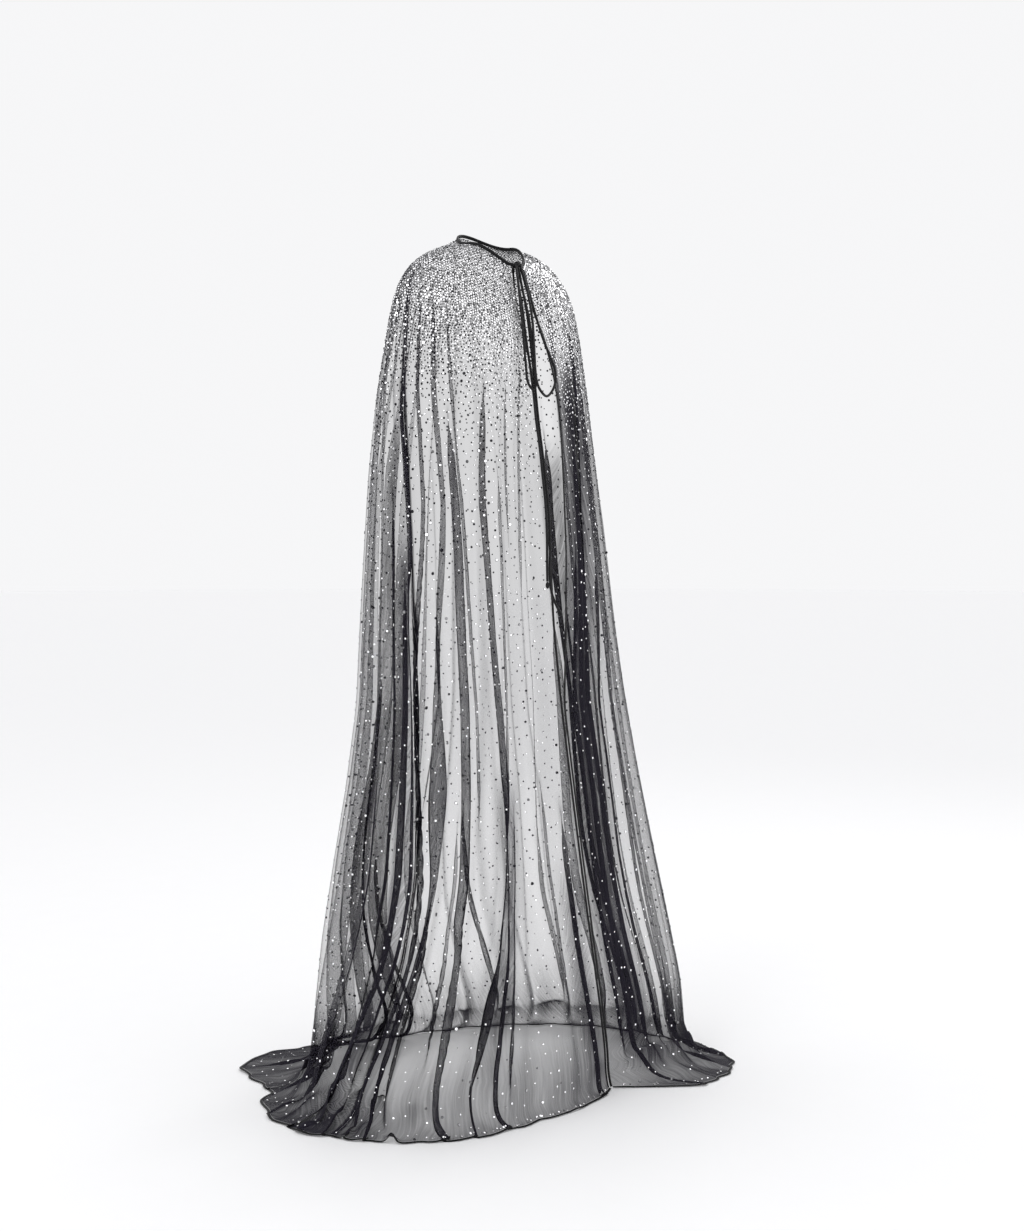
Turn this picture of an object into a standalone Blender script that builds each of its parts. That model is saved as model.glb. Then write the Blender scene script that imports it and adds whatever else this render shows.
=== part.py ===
"""A floor-length cloak of sheer black net, worn open with a bow of thin cord at the neck.

Metres, +Z up. The front faces -Y and the wearer's right is -X. The origin is where the cloak
is held: the middle of the neck ring, HOLD_HEIGHT above the floor that its hem lies on.

The cloth is a thin wall through horizontal sections. Each section is an oval, and vertical
pleats dip inwards from it. Along the floor the cloth runs out to the hem.
"""

import math

import bmesh
import bpy
import numpy as np
from mathutils import Vector

HOLD_HEIGHT = 1.500
WALL = 0.0015
SEAM_GAP = 0.0003
STEPS_PER_PLEAT = 5
TROUGH_SHARPNESS = 4
SHARPEST_MITRE = 1.6

# Bindings: how wide they are, and how far they stand over each face of the net
EDGE_BINDING_WIDTH = 0.005
HEM_BINDING_WIDTH = 0.005
NECK_BINDING_WIDTH = 0.006
BINDING_PROUD = 0.0004
EDGE_BINDING_SHORT_OF_NECK = 0.0020

# The sections, from the neck to the last one that stands clear of the floor. Heights are
# above the floor, at the front, the sides and the back; right, left, front and back are how
# far the oval reaches each way from its centre, which lies centre_back behind the neck's
# middle, and left_front is how far it reaches forward at its left end; pleats is how much of
# their depth the pleats have there.
SECTION_COLUMNS = (
    "front_height", "right_height", "left_height", "back_height",
    "right", "left", "front", "left_front", "back", "centre_back", "pleats",
)
SECTIONS = (
    (1.468, 1.508, 1.512, 1.533, 0.060, 0.060, 0.060, 0.060, 0.060, 0.015, 0.00),
    (1.450, 1.507, 1.513, 1.518, 0.092, 0.092, 0.071, 0.071, 0.080, 0.017, 0.00),
    (1.420, 1.494, 1.506, 1.486, 0.134, 0.134, 0.089, 0.089, 0.099, 0.020, 0.05),
    (1.385, 1.472, 1.488, 1.446, 0.173, 0.173, 0.110, 0.110, 0.116, 0.023, 0.15),
    (1.340, 1.436, 1.456, 1.398, 0.199, 0.199, 0.126, 0.126, 0.128, 0.024, 0.35),
    (1.280, 1.366, 1.385, 1.325, 0.218, 0.218, 0.137, 0.137, 0.139, 0.024, 0.55),
    (1.200, 1.260, 1.270, 1.228, 0.241, 0.244, 0.142, 0.142, 0.151, 0.024, 0.75),
    (1.090, 1.110, 1.110, 1.105, 0.258, 0.270, 0.150, 0.150, 0.166, 0.022, 0.95),
    (0.970, 0.970, 0.970, 0.970, 0.268, 0.292, 0.158, 0.158, 0.177, 0.020, 1.00),
    (0.840, 0.840, 0.840, 0.840, 0.277, 0.316, 0.163, 0.163, 0.188, 0.017, 1.00),
    (0.700, 0.700, 0.700, 0.700, 0.285, 0.345, 0.166, 0.171, 0.202, 0.012, 1.00),
    (0.560, 0.560, 0.560, 0.560, 0.303, 0.362, 0.178, 0.208, 0.229, 0.007, 1.00),
    (0.420, 0.420, 0.420, 0.420, 0.322, 0.386, 0.184, 0.252, 0.262, 0.004, 1.00),
    (0.280, 0.280, 0.280, 0.280, 0.338, 0.408, 0.190, 0.306, 0.292, 0.002, 1.00),
    (0.160, 0.160, 0.160, 0.160, 0.350, 0.424, 0.190, 0.353, 0.311, 0.000, 1.00),
    (0.070, 0.070, 0.070, 0.070, 0.358, 0.430, 0.187, 0.367, 0.320, 0.000, 1.00),
)

# The rows that turn out along the floor: how far each has come from the last section to the
# hem, the height of its upper face, and how much the pleats stand up from it.
FLOOR_COLUMNS = ("share", "height", "ridge")
FLOOR_ROWS = (
    (0.12, 0.0260, 0.010),
    (0.50, 0.0026, 0.012),
    (1.00, 0.0032, 0.000),
)

# The front opening: at each height, where its middle lies to the left and to the front, and
# half the distance between the two panels.
OPENING_COLUMNS = ("height", "middle_x", "middle_y", "half_gap")
OPENING = (
    (1.468, -0.002, -0.0450, 0.0145),
    (1.450, -0.001, -0.0500, 0.0170),
    (1.400, 0.000, -0.0620, 0.0250),
    (1.330, 0.000, -0.0880, 0.0340),
    (1.270, 0.000, -0.1060, 0.0340),
    (1.200, 0.000, -0.1150, 0.0380),
    (1.080, 0.000, -0.1290, 0.0290),
    (0.980, 0.000, -0.1360, 0.0270),
    (0.820, 0.000, -0.1410, 0.0200),
    (0.710, 0.001, -0.1450, 0.0070),
    (0.500, 0.012, -0.1690, 0.0065),
    (0.350, 0.030, -0.1790, 0.0065),
    (0.160, 0.075, -0.1780, 0.0065),
    (0.070, 0.106, -0.1680, 0.0065),
    (0.000, 0.107, -0.1760, 0.0065),
)

# The pleats, from the wearer's right front round the back. An angle is in degrees from the
# centre front towards the wearer's right: round the oval at five heights, and as a compass
# has it at the hem. Depths are at the waist and the shin. hem_dip is how far the hem reaches
# from the axis at the pleat, and hem_lobe how far between it and the next one.
PLEAT_HEIGHTS = (1.40, 1.05, 0.70, 0.35, 0.07)
DEPTH_HEIGHTS = (1.05, 0.35)
PLEAT_COLUMNS = (
    "shoulder", "waist", "thigh", "shin", "foot", "hem",
    "waist_depth", "shin_depth", "hem_dip", "hem_lobe",
)
RIGHT_FRONT_PLEATS = (
    (19, 21, 18, 11, -4, -4, 0.007, 0.014, 0.197, 0.204),
    (27, 28, 26, 22, 19, 30, 0.007, 0.014, 0.214, 0.247),
    (39, 38, 34, 32, 44, 58, 0.013, 0.030, 0.294, 0.318),
    (57, 50, 48, 48, 64, 72, 0.013, 0.034, 0.338, 0.360),
    (72, 62, 62, 62, 84, 85, 0.012, 0.032, 0.372, 0.390),
)
RIGHT_SEAM_PLEAT = (96, 79, 76, 73, 97, 95, 0.014, 0.040, 0.395, 0.423)
BACK_PLEATS = (
    (107, 91, 91, 91, 111, 108, 0.015, 0.042, 0.421, 0.432),
    (117, 102, 105, 106, 126, 121, 0.016, 0.040, 0.422, 0.425),
    (128, 114, 118, 120, 138, 134, 0.015, 0.042, 0.402, 0.420),
    (139, 127, 131, 133, 153, 148, 0.016, 0.044, 0.456, 0.488),
    (150, 141, 144, 147, 165, 160, 0.015, 0.042, 0.488, 0.480),
    (161, 155, 157, 160, 176, 173, 0.016, 0.040, 0.444, 0.424),
    (172, 169, 170, 172, 188, 187, 0.015, 0.042, 0.392, 0.382),
    (184, 183, 183, 185, 200, 202, 0.016, 0.044, 0.368, 0.374),
    (196, 197, 197, 198, 212, 216, 0.015, 0.042, 0.370, 0.386),
    (208, 211, 210, 212, 225, 230, 0.016, 0.040, 0.386, 0.402),
    (220, 225, 223, 225, 237, 242, 0.015, 0.042, 0.404, 0.420),
    (233, 238, 236, 238, 250, 253, 0.016, 0.042, 0.422, 0.436),
    (247, 251, 250, 252, 264, 264, 0.015, 0.044, 0.434, 0.446),
)
LEFT_SEAM_PLEAT = (264, 265, 264, 265, 276, 275, 0.014, 0.044, 0.440, 0.450)
LEFT_FRONT_PLEATS = (
    (280, 279, 278, 278, 286, 283, 0.013, 0.040, 0.446, 0.460),
    (294, 292, 292, 290, 294, 291, 0.013, 0.036, 0.456, 0.470),
    (308, 305, 305, 304, 303, 300, 0.013, 0.036, 0.466, 0.466),
    (322, 320, 321, 318, 314, 308, 0.013, 0.028, 0.448, 0.434),
    (337, 338, 341, 336, 325, 317, 0.012, 0.020, 0.404, 0.376),
)

# The bow, as points along each cord: to the wearer's left, to the front and above the floor
CORD_DIAMETER = 0.0045
CORD_POINT_SPACING = 3.0
KNOT_HALF_SIZE = (0.0094, 0.0070, 0.0075)
KNOT_MIDDLE = (-0.002, -0.0480, 1.4740)
TIP_LENGTH = 0.012
TIP_DIAMETER = 0.0068
CORD_ROUTES = {
    "left_loop": (
        (0.0039, -0.0536, 1.4692), (0.0015, -0.0640, 1.4480), (-0.0090, -0.0830, 1.4140),
        (-0.0160, -0.0980, 1.3840), (-0.0150, -0.1135, 1.3420), (-0.0040, -0.1230, 1.3070),
        (0.0020, -0.1275, 1.2870), (-0.0010, -0.1315, 1.2680), (-0.0120, -0.1335, 1.2500),
        (-0.0310, -0.1350, 1.2380), (-0.0475, -0.1345, 1.2460), (-0.0555, -0.1325, 1.2600),
        (-0.0560, -0.1290, 1.2810), (-0.0465, -0.1190, 1.3230), (-0.0315, -0.1040, 1.3700),
        (-0.0165, -0.0850, 1.4110), (-0.0055, -0.0675, 1.4440), (-0.0014, -0.0550, 1.4690),
    ),
    "right_loop": (
        (-0.0114, -0.0524, 1.4722), (-0.0240, -0.0660, 1.4440), (-0.0400, -0.0830, 1.4050),
        (-0.0560, -0.1010, 1.3610), (-0.0670, -0.1130, 1.3250), (-0.0730, -0.1210, 1.2920),
        (-0.0755, -0.1260, 1.2660), (-0.0710, -0.1280, 1.2540), (-0.0615, -0.1285, 1.2480),
        (-0.0530, -0.1275, 1.2560), (-0.0495, -0.1230, 1.2820), (-0.0440, -0.1135, 1.3250),
        (-0.0330, -0.0980, 1.3710), (-0.0230, -0.0795, 1.4120), (-0.0130, -0.0640, 1.4440),
        (-0.0064, -0.0539, 1.4691),
    ),
    "left_tie_end": (
        (0.0010, -0.0491, 1.4657), (-0.0060, -0.0600, 1.4400), (-0.0230, -0.0845, 1.3900),
        (-0.0380, -0.1040, 1.3380), (-0.0450, -0.1155, 1.2920), (-0.0475, -0.1230, 1.2460),
        (-0.0460, -0.1290, 1.1900), (-0.0430, -0.1360, 1.1320), (-0.0410, -0.1410, 1.0830),
        (-0.0380, -0.1450, 1.0330), (-0.0400, -0.1490, 0.9840), (-0.0435, -0.1510, 0.9380),
        (-0.0420, -0.1525, 0.9050), (-0.0325, -0.1540, 0.8820), (-0.0220, -0.1550, 0.8670),
    ),
    "right_tie_end": (
        (-0.0042, -0.0490, 1.4661), (-0.0150, -0.0600, 1.4400), (-0.0350, -0.0850, 1.3900),
        (-0.0500, -0.1040, 1.3380), (-0.0545, -0.1165, 1.2880), (-0.0545, -0.1240, 1.2410),
        (-0.0540, -0.1290, 1.1970), (-0.0510, -0.1340, 1.1540), (-0.0485, -0.1390, 1.1020),
        (-0.0465, -0.1440, 1.0500), (-0.0470, -0.1475, 0.9980), (-0.0505, -0.1505, 0.9470),
        (-0.0515, -0.1520, 0.9180),
    ),
}


def column(table, columns, name):
    """One named column of a table, as an array."""
    return np.array([row[columns.index(name)] for row in table], float)


PLEATS = RIGHT_FRONT_PLEATS + (RIGHT_SEAM_PLEAT,) + BACK_PLEATS + (LEFT_SEAM_PLEAT,) + LEFT_FRONT_PLEATS
RIGHT_SEAM = len(RIGHT_FRONT_PLEATS) + 1
LEFT_SEAM = RIGHT_SEAM + len(BACK_PLEATS) + 1
LAST_LINE = len(PLEATS) + 1


def at_height(height, heights, values):
    """Values given at falling heights, read at one height."""
    return float(np.interp(height, heights[::-1], values[::-1]))


def opening_edges(height):
    """Where the right and the left panel end at the front, at this height."""
    heights = column(OPENING, OPENING_COLUMNS, "height")
    x, y, gap = (
        at_height(height, heights, column(OPENING, OPENING_COLUMNS, name))
        for name in ("middle_x", "middle_y", "half_gap")
    )
    return np.array((x - gap, y)), np.array((x + gap, y))


def oval_reach(row, angle):
    """The section's reach along X and along Y at an angle."""
    across, ahead = math.sin(angle), math.cos(angle)
    if ahead < 0:
        reach = row["back"]
    elif across > 0:
        reach = row["front"]
    else:
        reach = row["front"] + (row["left_front"] - row["front"]) * across**2
    return (row["right"] if across > 0 else row["left"]), reach


def oval_point(row, angle, share=1.0):
    side, reach = oval_reach(row, angle)
    return np.array(
        (-share * side * math.sin(angle), row["centre_back"] - share * reach * math.cos(angle))
    )


def oval_place(row, point):
    """The angle of a point, and its share of the oval's reach."""
    x, y = -point[0], row["centre_back"] - point[1]
    angle = math.atan2(x, y)
    for _ in range(20):
        side, reach = oval_reach(row, angle)
        angle = math.atan2(x / side, y / reach)
    return angle, math.hypot(x / side, y / reach)


def section_height(row, angle):
    side = row["right_height"] if math.sin(angle) > 0 else row["left_height"]
    end = row["front_height"] if math.cos(angle) > 0 else row["back_height"]
    return side + (end - side) * math.cos(angle) ** 2


def pleat_lines(row):
    """The angle and the share of the oval's reach of each line, at its trough: first the
    right panel's front edge, then every pleat, then the left panel's front edge."""
    middle = (row["front_height"] + row["left_height"] + row["back_height"]) / 3
    right_edge, left_edge = opening_edges(row["front_height"])
    lines = [oval_place(row, right_edge)]
    for pleat in PLEATS:
        by_name = dict(zip(PLEAT_COLUMNS, pleat))
        angle = math.radians(at_height(middle, np.array(PLEAT_HEIGHTS), np.array(pleat[:5])))
        depth = row["pleats"] * at_height(
            middle, np.array(DEPTH_HEIGHTS), np.array((by_name["waist_depth"], by_name["shin_depth"]))
        )
        whole = np.linalg.norm(oval_point(row, angle) - (0, row["centre_back"]))
        lines.append((angle, 1 - depth / whole))
    angle, share = oval_place(row, left_edge)
    lines.append((angle % math.tau if angle < -math.pi / 2 else angle + math.tau, share))
    return lines


def trough(fraction):
    """How much of a pleat's depth is left, from its line at 0 to half way to the next."""
    return math.cos(math.pi * fraction) ** TROUGH_SHARPNESS


def standing_row(row):
    """Points round the cloak in one section, five to a pleat. The cloth runs straight from a
    front edge to the pleat beside it."""
    lines = pleat_lines(row)
    points = []
    for index, ((angle, share), (next_angle, next_share)) in enumerate(zip(lines, lines[1:])):
        for step in range(STEPS_PER_PLEAT):
            fraction = step / STEPS_PER_PLEAT
            if index in (0, LAST_LINE - 1):
                inward = (1 - share) * (1 - fraction) + (1 - next_share) * fraction
            else:
                near = share if fraction < 0.5 else next_share
                inward = (1 - near) * trough(fraction)
            there = angle + (next_angle - angle) * fraction
            x, y = oval_point(row, there, 1 - inward)
            points.append((x, y, section_height(row, there)))
    angle, share = lines[-1]
    x, y = oval_point(row, angle, share)
    points.append((x, y, section_height(row, angle)))
    return points


def hem_line():
    """Points of the hem, as it lies on the floor."""
    right_corner, left_corner = opening_edges(0.0)
    lines = [(math.atan2(-right_corner[0], -right_corner[1]), np.linalg.norm(right_corner), None)]
    for pleat in PLEATS:
        by_name = dict(zip(PLEAT_COLUMNS, pleat))
        lines.append((math.radians(by_name["hem"]), by_name["hem_dip"], by_name["hem_lobe"]))
    left_angle = math.atan2(-left_corner[0], -left_corner[1]) + math.tau
    lines.append((left_angle, np.linalg.norm(left_corner), None))
    points = []
    for (angle, dip, lobe), (next_angle, next_dip, _) in zip(lines, lines[1:]):
        crest = lobe if lobe is not None else (dip + next_dip) / 2
        for step in range(STEPS_PER_PLEAT):
            fraction = step / STEPS_PER_PLEAT
            near = dip if fraction < 0.5 else next_dip
            rounded = math.cos(math.pi * fraction) ** 2
            reach = crest + (near - crest) * rounded
            there = angle + (next_angle - angle) * fraction
            points.append((-reach * math.sin(there), -reach * math.cos(there)))
    points.append((left_corner[0], left_corner[1]))
    return points


def cloak_grid():
    """The outer face of the cloth, as rows of points from the neck to the hem. Each row runs
    from the right front edge round the back to the left front edge."""
    rows = [standing_row(dict(zip(SECTION_COLUMNS, row))) for row in SECTIONS]
    hem = hem_line()
    foot = rows[-1]
    for floor_row in FLOOR_ROWS:
        by_name = dict(zip(FLOOR_COLUMNS, floor_row))
        share = by_name["share"]
        row = []
        for index, (start, end) in enumerate(zip(foot, hem)):
            ridge = by_name["ridge"] * trough(index / STEPS_PER_PLEAT)
            row.append(
                (
                    start[0] + (end[0] - start[0]) * share,
                    start[1] + (end[1] - start[1]) * share,
                    by_name["height"] + ridge,
                )
            )
        rows.append(row)
    grid = np.array(rows)
    grid[:, :, 2] -= HOLD_HEIGHT
    return grid


def unit(vectors):
    return vectors / np.linalg.norm(vectors, axis=-1, keepdims=True)


def directions(grid):
    """At each point of the grid, the unit directions along its row and down the cloth."""
    return unit(np.gradient(grid, axis=1)), unit(np.gradient(grid, axis=0))


def face_normals(grid):
    """At each point, the outward direction, lengthened at a fold so that the wall on its
    flanks keeps its thickness."""
    ahead = grid[:-1, 1:] - grid[:-1, :-1]
    down = grid[1:, :-1] - grid[:-1, :-1]
    faces = unit(np.cross(ahead, down))
    padded = np.pad(faces, ((1, 1), (1, 1), (0, 0)), mode="edge")
    corners = (padded[:-1, :-1], padded[1:, :-1], padded[:-1, 1:], padded[1:, 1:])
    normals = unit(sum(corners))
    least = np.min([(normals * corner).sum(-1) for corner in corners], axis=0)
    return normals / np.clip(least, 1 / SHARPEST_MITRE, 1)[..., None]


def material(name, colour, roughness, metallic=0.0):
    made = bpy.data.materials.new(name)
    made.use_nodes = True
    shader = made.node_tree.nodes["Principled BSDF"]
    shader.inputs["Base Color"].default_value = (*colour, 1)
    shader.inputs["Roughness"].default_value = roughness
    shader.inputs["Metallic"].default_value = metallic
    made.diffuse_color = (*colour, 1)
    return made


def finish(name, mesh, finish_material, smooth_angle=40):
    obj = bpy.data.objects.new(name, mesh)
    bpy.context.scene.collection.objects.link(obj)
    mesh.materials.append(finish_material)
    mesh.shade_smooth()
    mesh.set_sharp_from_angle(angle=math.radians(smooth_angle))
    return obj


def wall_between(name, outer, inner, finish_material):
    """A closed wall between two grids of points that have the same rows and columns."""
    bm = bmesh.new()
    rows, columns = outer.shape[:2]
    outer_verts = [[bm.verts.new(point) for point in row] for row in outer]
    inner_verts = [[bm.verts.new(point) for point in row] for row in inner]

    def triangles(a, b, c, d):
        bm.faces.new((a, b, c))
        bm.faces.new((a, c, d))

    for i in range(rows - 1):
        for j in range(columns - 1):
            here = (i, j), (i, j + 1), (i + 1, j + 1), (i + 1, j)
            triangles(*(outer_verts[r][c] for r, c in here))
            a, b, c, d = (inner_verts[r][k] for r, k in here)
            bm.faces.new((c, b, a))
            bm.faces.new((d, c, a))
    around = (
        [(0, j) for j in range(columns - 1)]
        + [(i, columns - 1) for i in range(rows - 1)]
        + [(rows - 1, j) for j in range(columns - 1, 0, -1)]
        + [(i, 0) for i in range(rows - 1, 0, -1)]
    )
    for (r0, c0), (r1, c1) in zip(around, around[1:] + around[:1]):
        triangles(outer_verts[r0][c0], inner_verts[r0][c0], inner_verts[r1][c1], outer_verts[r1][c1])
    mesh = bpy.data.meshes.new(name)
    bm.to_mesh(mesh)
    bm.free()
    return finish(name, mesh, finish_material)


def panel(name, grid, inner, first, last, finish_material):
    """A cloth panel between two lines, half a seam gap short of each that is a seam."""
    columns = slice(first * STEPS_PER_PLEAT, last * STEPS_PER_PLEAT + 1)
    along, _ = directions(grid)
    shift = np.zeros_like(grid[:, columns])
    if first > 0:
        shift[:, 0] = along[:, columns][:, 0] * SEAM_GAP / 2
    if last < LAST_LINE:
        shift[:, -1] = -along[:, columns][:, -1] * SEAM_GAP / 2
    return wall_between(name, grid[:, columns] + shift, inner[:, columns] + shift, finish_material)


def beside(edge, through):
    """At each point of an edge, the way out beside it, square to the edge and to the wall,
    lengthened at a bend so that a strip along the edge keeps its distance."""
    segments = unit(np.diff(edge, axis=0))
    middles = unit(through[1:] + through[:-1])
    square = unit(np.cross(segments, middles))
    square = np.concatenate((square[:1], square, square[-1:]))
    away = unit(square[1:] + square[:-1])
    return away / np.clip((away * square[1:]).sum(-1), 1 / SHARPEST_MITRE, 1)[:, None]


def strip(name, outer_edge, inner_edge, away, width, finish_material):
    """A binding: a strip beside an edge of the cloth, a seam gap away and a little thicker.
    It is made from the edge's own points on the cloth's two faces."""
    through = unit(outer_edge - inner_edge)
    top = outer_edge + through * BINDING_PROUD
    base = inner_edge - through * BINDING_PROUD
    near, far = away * SEAM_GAP, away * (SEAM_GAP + width)
    bm = bmesh.new()
    loops = []
    for index in range(len(outer_edge)):
        corners = (
            top[index] + near[index], top[index] + far[index],
            base[index] + far[index], base[index] + near[index],
        )
        loops.append([bm.verts.new(corner) for corner in corners])
    for loop, following in zip(loops, loops[1:]):
        for k in range(4):
            m = (k + 1) % 4
            bm.faces.new((loop[k], loop[m], following[m]))
            bm.faces.new((loop[k], following[m], following[k]))
    bm.faces.new(reversed(loops[0]))
    bm.faces.new(loops[-1])
    bmesh.ops.recalc_face_normals(bm, faces=bm.faces)
    mesh = bpy.data.meshes.new(name)
    bm.to_mesh(mesh)
    bm.free()
    return finish(name, mesh, finish_material)


def edge_bindings(grid, inner, finish_material):
    for name, side, turn in (("right_edge_binding", 0, -1), ("left_edge_binding", -1, 1)):
        outer_edge, inner_edge = grid[:, side].copy(), inner[:, side].copy()
        down = unit(outer_edge[1] - outer_edge[0]) * EDGE_BINDING_SHORT_OF_NECK
        outer_edge[0] += down
        inner_edge[0] += down
        away = turn * beside(outer_edge, unit(outer_edge - inner_edge))
        strip(name, outer_edge, inner_edge, away, EDGE_BINDING_WIDTH, finish_material)


def hem_binding(grid, inner, finish_material):
    upright = np.tile((0.0, 0.0, 1.0), (grid.shape[1], 1))
    away = -beside(grid[-1], upright)
    strip("hem_binding", grid[-1], inner[-1], away, HEM_BINDING_WIDTH, finish_material)


def neck_binding(grid, inner, finish_material):
    """The neck binding stands up from the neck and runs on over the two edge bindings."""
    outer, within = grid[0, ::2], inner[0, ::2]
    past = SEAM_GAP + EDGE_BINDING_WIDTH
    first, last = unit(outer[0] - outer[1]) * past, unit(outer[-1] - outer[-2]) * past
    outer = np.concatenate(([outer[0] + first], outer, [outer[-1] + last]))
    within = np.concatenate(([within[0] + first], within, [within[-1] + last]))
    rising = unit(unit(grid[0, ::2] - grid[1, ::2]) + np.array((0, 0, 1.0)))
    rising = np.concatenate((rising[:1], rising, rising[-1:]))
    strip("neck_binding", outer, within, rising, NECK_BINDING_WIDTH, finish_material)


def smooth_route(points, spacing):
    """Points at an even spacing along a smooth curve through a route's points."""
    route = [Vector((x, y, z - HOLD_HEIGHT)) for x, y, z in points]
    route = [route[0] * 2 - route[1]] + route + [route[-1] * 2 - route[-2]]
    fine = []
    for before, start, end, after in zip(route, route[1:], route[2:], route[3:]):
        for step in range(40):
            t = step / 40
            fine.append(
                0.5
                * (
                    2 * start
                    + (end - before) * t
                    + (2 * before - 5 * start + 4 * end - after) * t**2
                    + (3 * start - before - 3 * end + after) * t**3
                )
            )
    fine = np.array(fine + [route[-2]])
    travelled = np.concatenate(([0], np.cumsum(np.linalg.norm(np.diff(fine, axis=0), axis=1))))
    count = max(round(travelled[-1] / spacing), 2)
    at = np.linspace(0, travelled[-1], count + 1)
    return np.stack([np.interp(at, travelled, fine[:, axis]) for axis in range(3)], axis=1)


def cord(name, finish_material):
    points = smooth_route(CORD_ROUTES[name], CORD_POINT_SPACING * CORD_DIAMETER)
    curve = bpy.data.curves.new(name, "CURVE")
    curve.dimensions = "3D"
    curve.bevel_depth = CORD_DIAMETER / 2
    curve.bevel_resolution = 2
    curve.use_fill_caps = True
    spline = curve.splines.new("POLY")
    spline.points.add(len(points) - 1)
    for made, (x, y, z) in zip(spline.points, points):
        made.co = (x, y, z, 1)
    curve.materials.append(finish_material)
    obj = bpy.data.objects.new(name, curve)
    bpy.context.scene.collection.objects.link(obj)
    return points


def rounded_solid(name, middle, half_size, finish_material, rings=8, sides=12, turn=None):
    """A ball stretched to half_size, turned by a quaternion where one is given."""
    bm = bmesh.new()
    bmesh.ops.create_uvsphere(bm, u_segments=sides, v_segments=rings, radius=1)
    bmesh.ops.scale(bm, vec=half_size, verts=bm.verts)
    if turn is not None:
        bmesh.ops.rotate(bm, matrix=turn.to_matrix(), verts=bm.verts)
    bmesh.ops.translate(bm, vec=middle, verts=bm.verts)
    mesh = bpy.data.meshes.new(name)
    bm.to_mesh(mesh)
    bm.free()
    return finish(name, mesh, finish_material)


def bow(finish_material):
    """The knot, its two loops, and its two free ends with their tips."""
    x, y, z = KNOT_MIDDLE
    rounded_solid("tie_knot", (x, y, z - HOLD_HEIGHT), KNOT_HALF_SIZE, finish_material)
    for name in CORD_ROUTES:
        points = cord(name, finish_material)
        if name.endswith("_end"):
            heading = Vector(points[-1] - points[-2]).normalized()
            middle = Vector(points[-1]) + heading * (TIP_LENGTH / 2 + SEAM_GAP)
            half = (TIP_DIAMETER / 2, TIP_DIAMETER / 2, TIP_LENGTH / 2)
            turn = Vector((0, 0, 1)).rotation_difference(heading)
            rounded_solid(name[:-4] + "_tip", middle, half, finish_material, 6, 10, turn)


def main():
    for obj in list(bpy.data.objects):
        bpy.data.objects.remove(obj)
    net = material("black_net", (0.030, 0.028, 0.034), 0.75)
    binding = material("black_binding", (0.012, 0.012, 0.013), 0.45)
    cord_satin = material("black_cord", (0.010, 0.010, 0.011), 0.40)

    grid = cloak_grid()
    inner = grid - face_normals(grid) * WALL
    panel("right_front", grid, inner, 0, RIGHT_SEAM, net)
    panel("back_panel", grid, inner, RIGHT_SEAM, LEFT_SEAM, net)
    panel("left_front", grid, inner, LEFT_SEAM, LAST_LINE, net)
    neck_binding(grid, inner, binding)
    edge_bindings(grid, inner, binding)
    hem_binding(grid, inner, binding)
    bow(cord_satin)


main()
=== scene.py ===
"""The looks of a floor-length cloak of sheer black net, worn open: three panels of net with
their folds, the bindings along their edges, the stones sewn on them, and a bow of thin cord.

Metres, +Z up. The front faces -Y, and right and left are as the cloak is worn: its right is -X.
The origin is the middle of the neck ring, HOLD_HEIGHT above the floor that the hem lies on.

The cloth is laid out on a grid. A place along a row is counted in lines: 0 is the right front
edge, each whole number after it is the bottom of a pleat, and LAST_LINE is the left front edge.
"""

import math

import bmesh
import bpy
import numpy as np
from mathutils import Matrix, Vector

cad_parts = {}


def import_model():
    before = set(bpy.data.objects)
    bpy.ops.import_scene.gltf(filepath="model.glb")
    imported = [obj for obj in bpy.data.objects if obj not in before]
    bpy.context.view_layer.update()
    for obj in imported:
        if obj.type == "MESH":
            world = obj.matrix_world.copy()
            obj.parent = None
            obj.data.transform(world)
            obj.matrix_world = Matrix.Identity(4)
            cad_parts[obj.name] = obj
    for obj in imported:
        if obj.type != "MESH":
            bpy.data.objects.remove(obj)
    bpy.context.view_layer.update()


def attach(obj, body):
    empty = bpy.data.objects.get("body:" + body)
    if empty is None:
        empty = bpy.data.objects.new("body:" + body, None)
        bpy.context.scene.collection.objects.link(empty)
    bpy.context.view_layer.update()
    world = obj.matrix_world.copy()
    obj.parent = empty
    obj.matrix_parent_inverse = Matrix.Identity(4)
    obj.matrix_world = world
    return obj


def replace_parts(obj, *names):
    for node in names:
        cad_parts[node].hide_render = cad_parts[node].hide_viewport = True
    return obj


MILLIMETRE = 0.001
HOLD_HEIGHT = 1.5
FOOT_HEIGHT = 0.06
LEAST_HEIGHT = 0.0022
SEED = 7

# The camera: the photograph's scale, and where its horizon lies in the picture
IMAGE_SIZE = (1024, 1231)
HORIZON_ROW = 534
PIXELS_PER_METRE_AT_ONE_METRE = 1838
CAMERA_TURN = math.radians(52)
CAMERA_DISTANCE = 3.3
CAMERA_ASIDE = 0.027
CAMERA_HEIGHT = 1.0
SENSOR = 36

# The lamps: how far each stands beyond the cloak, aside and up, its size and its power
LAMPS = {"key": (-2.6, -1.6, 2.4, 1.6, 26), "rim": (2.4, 1.8, 2.2, 1.2, 14)}
LAMPS_AIM = (0, 0, -0.7)
SKY = (0.955, 0.955, 0.965, 1)
SKY_STRENGTH = 0.97
FLOOR_RADIUS = 30
LAYERS_SEEN_THROUGH = 96

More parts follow.
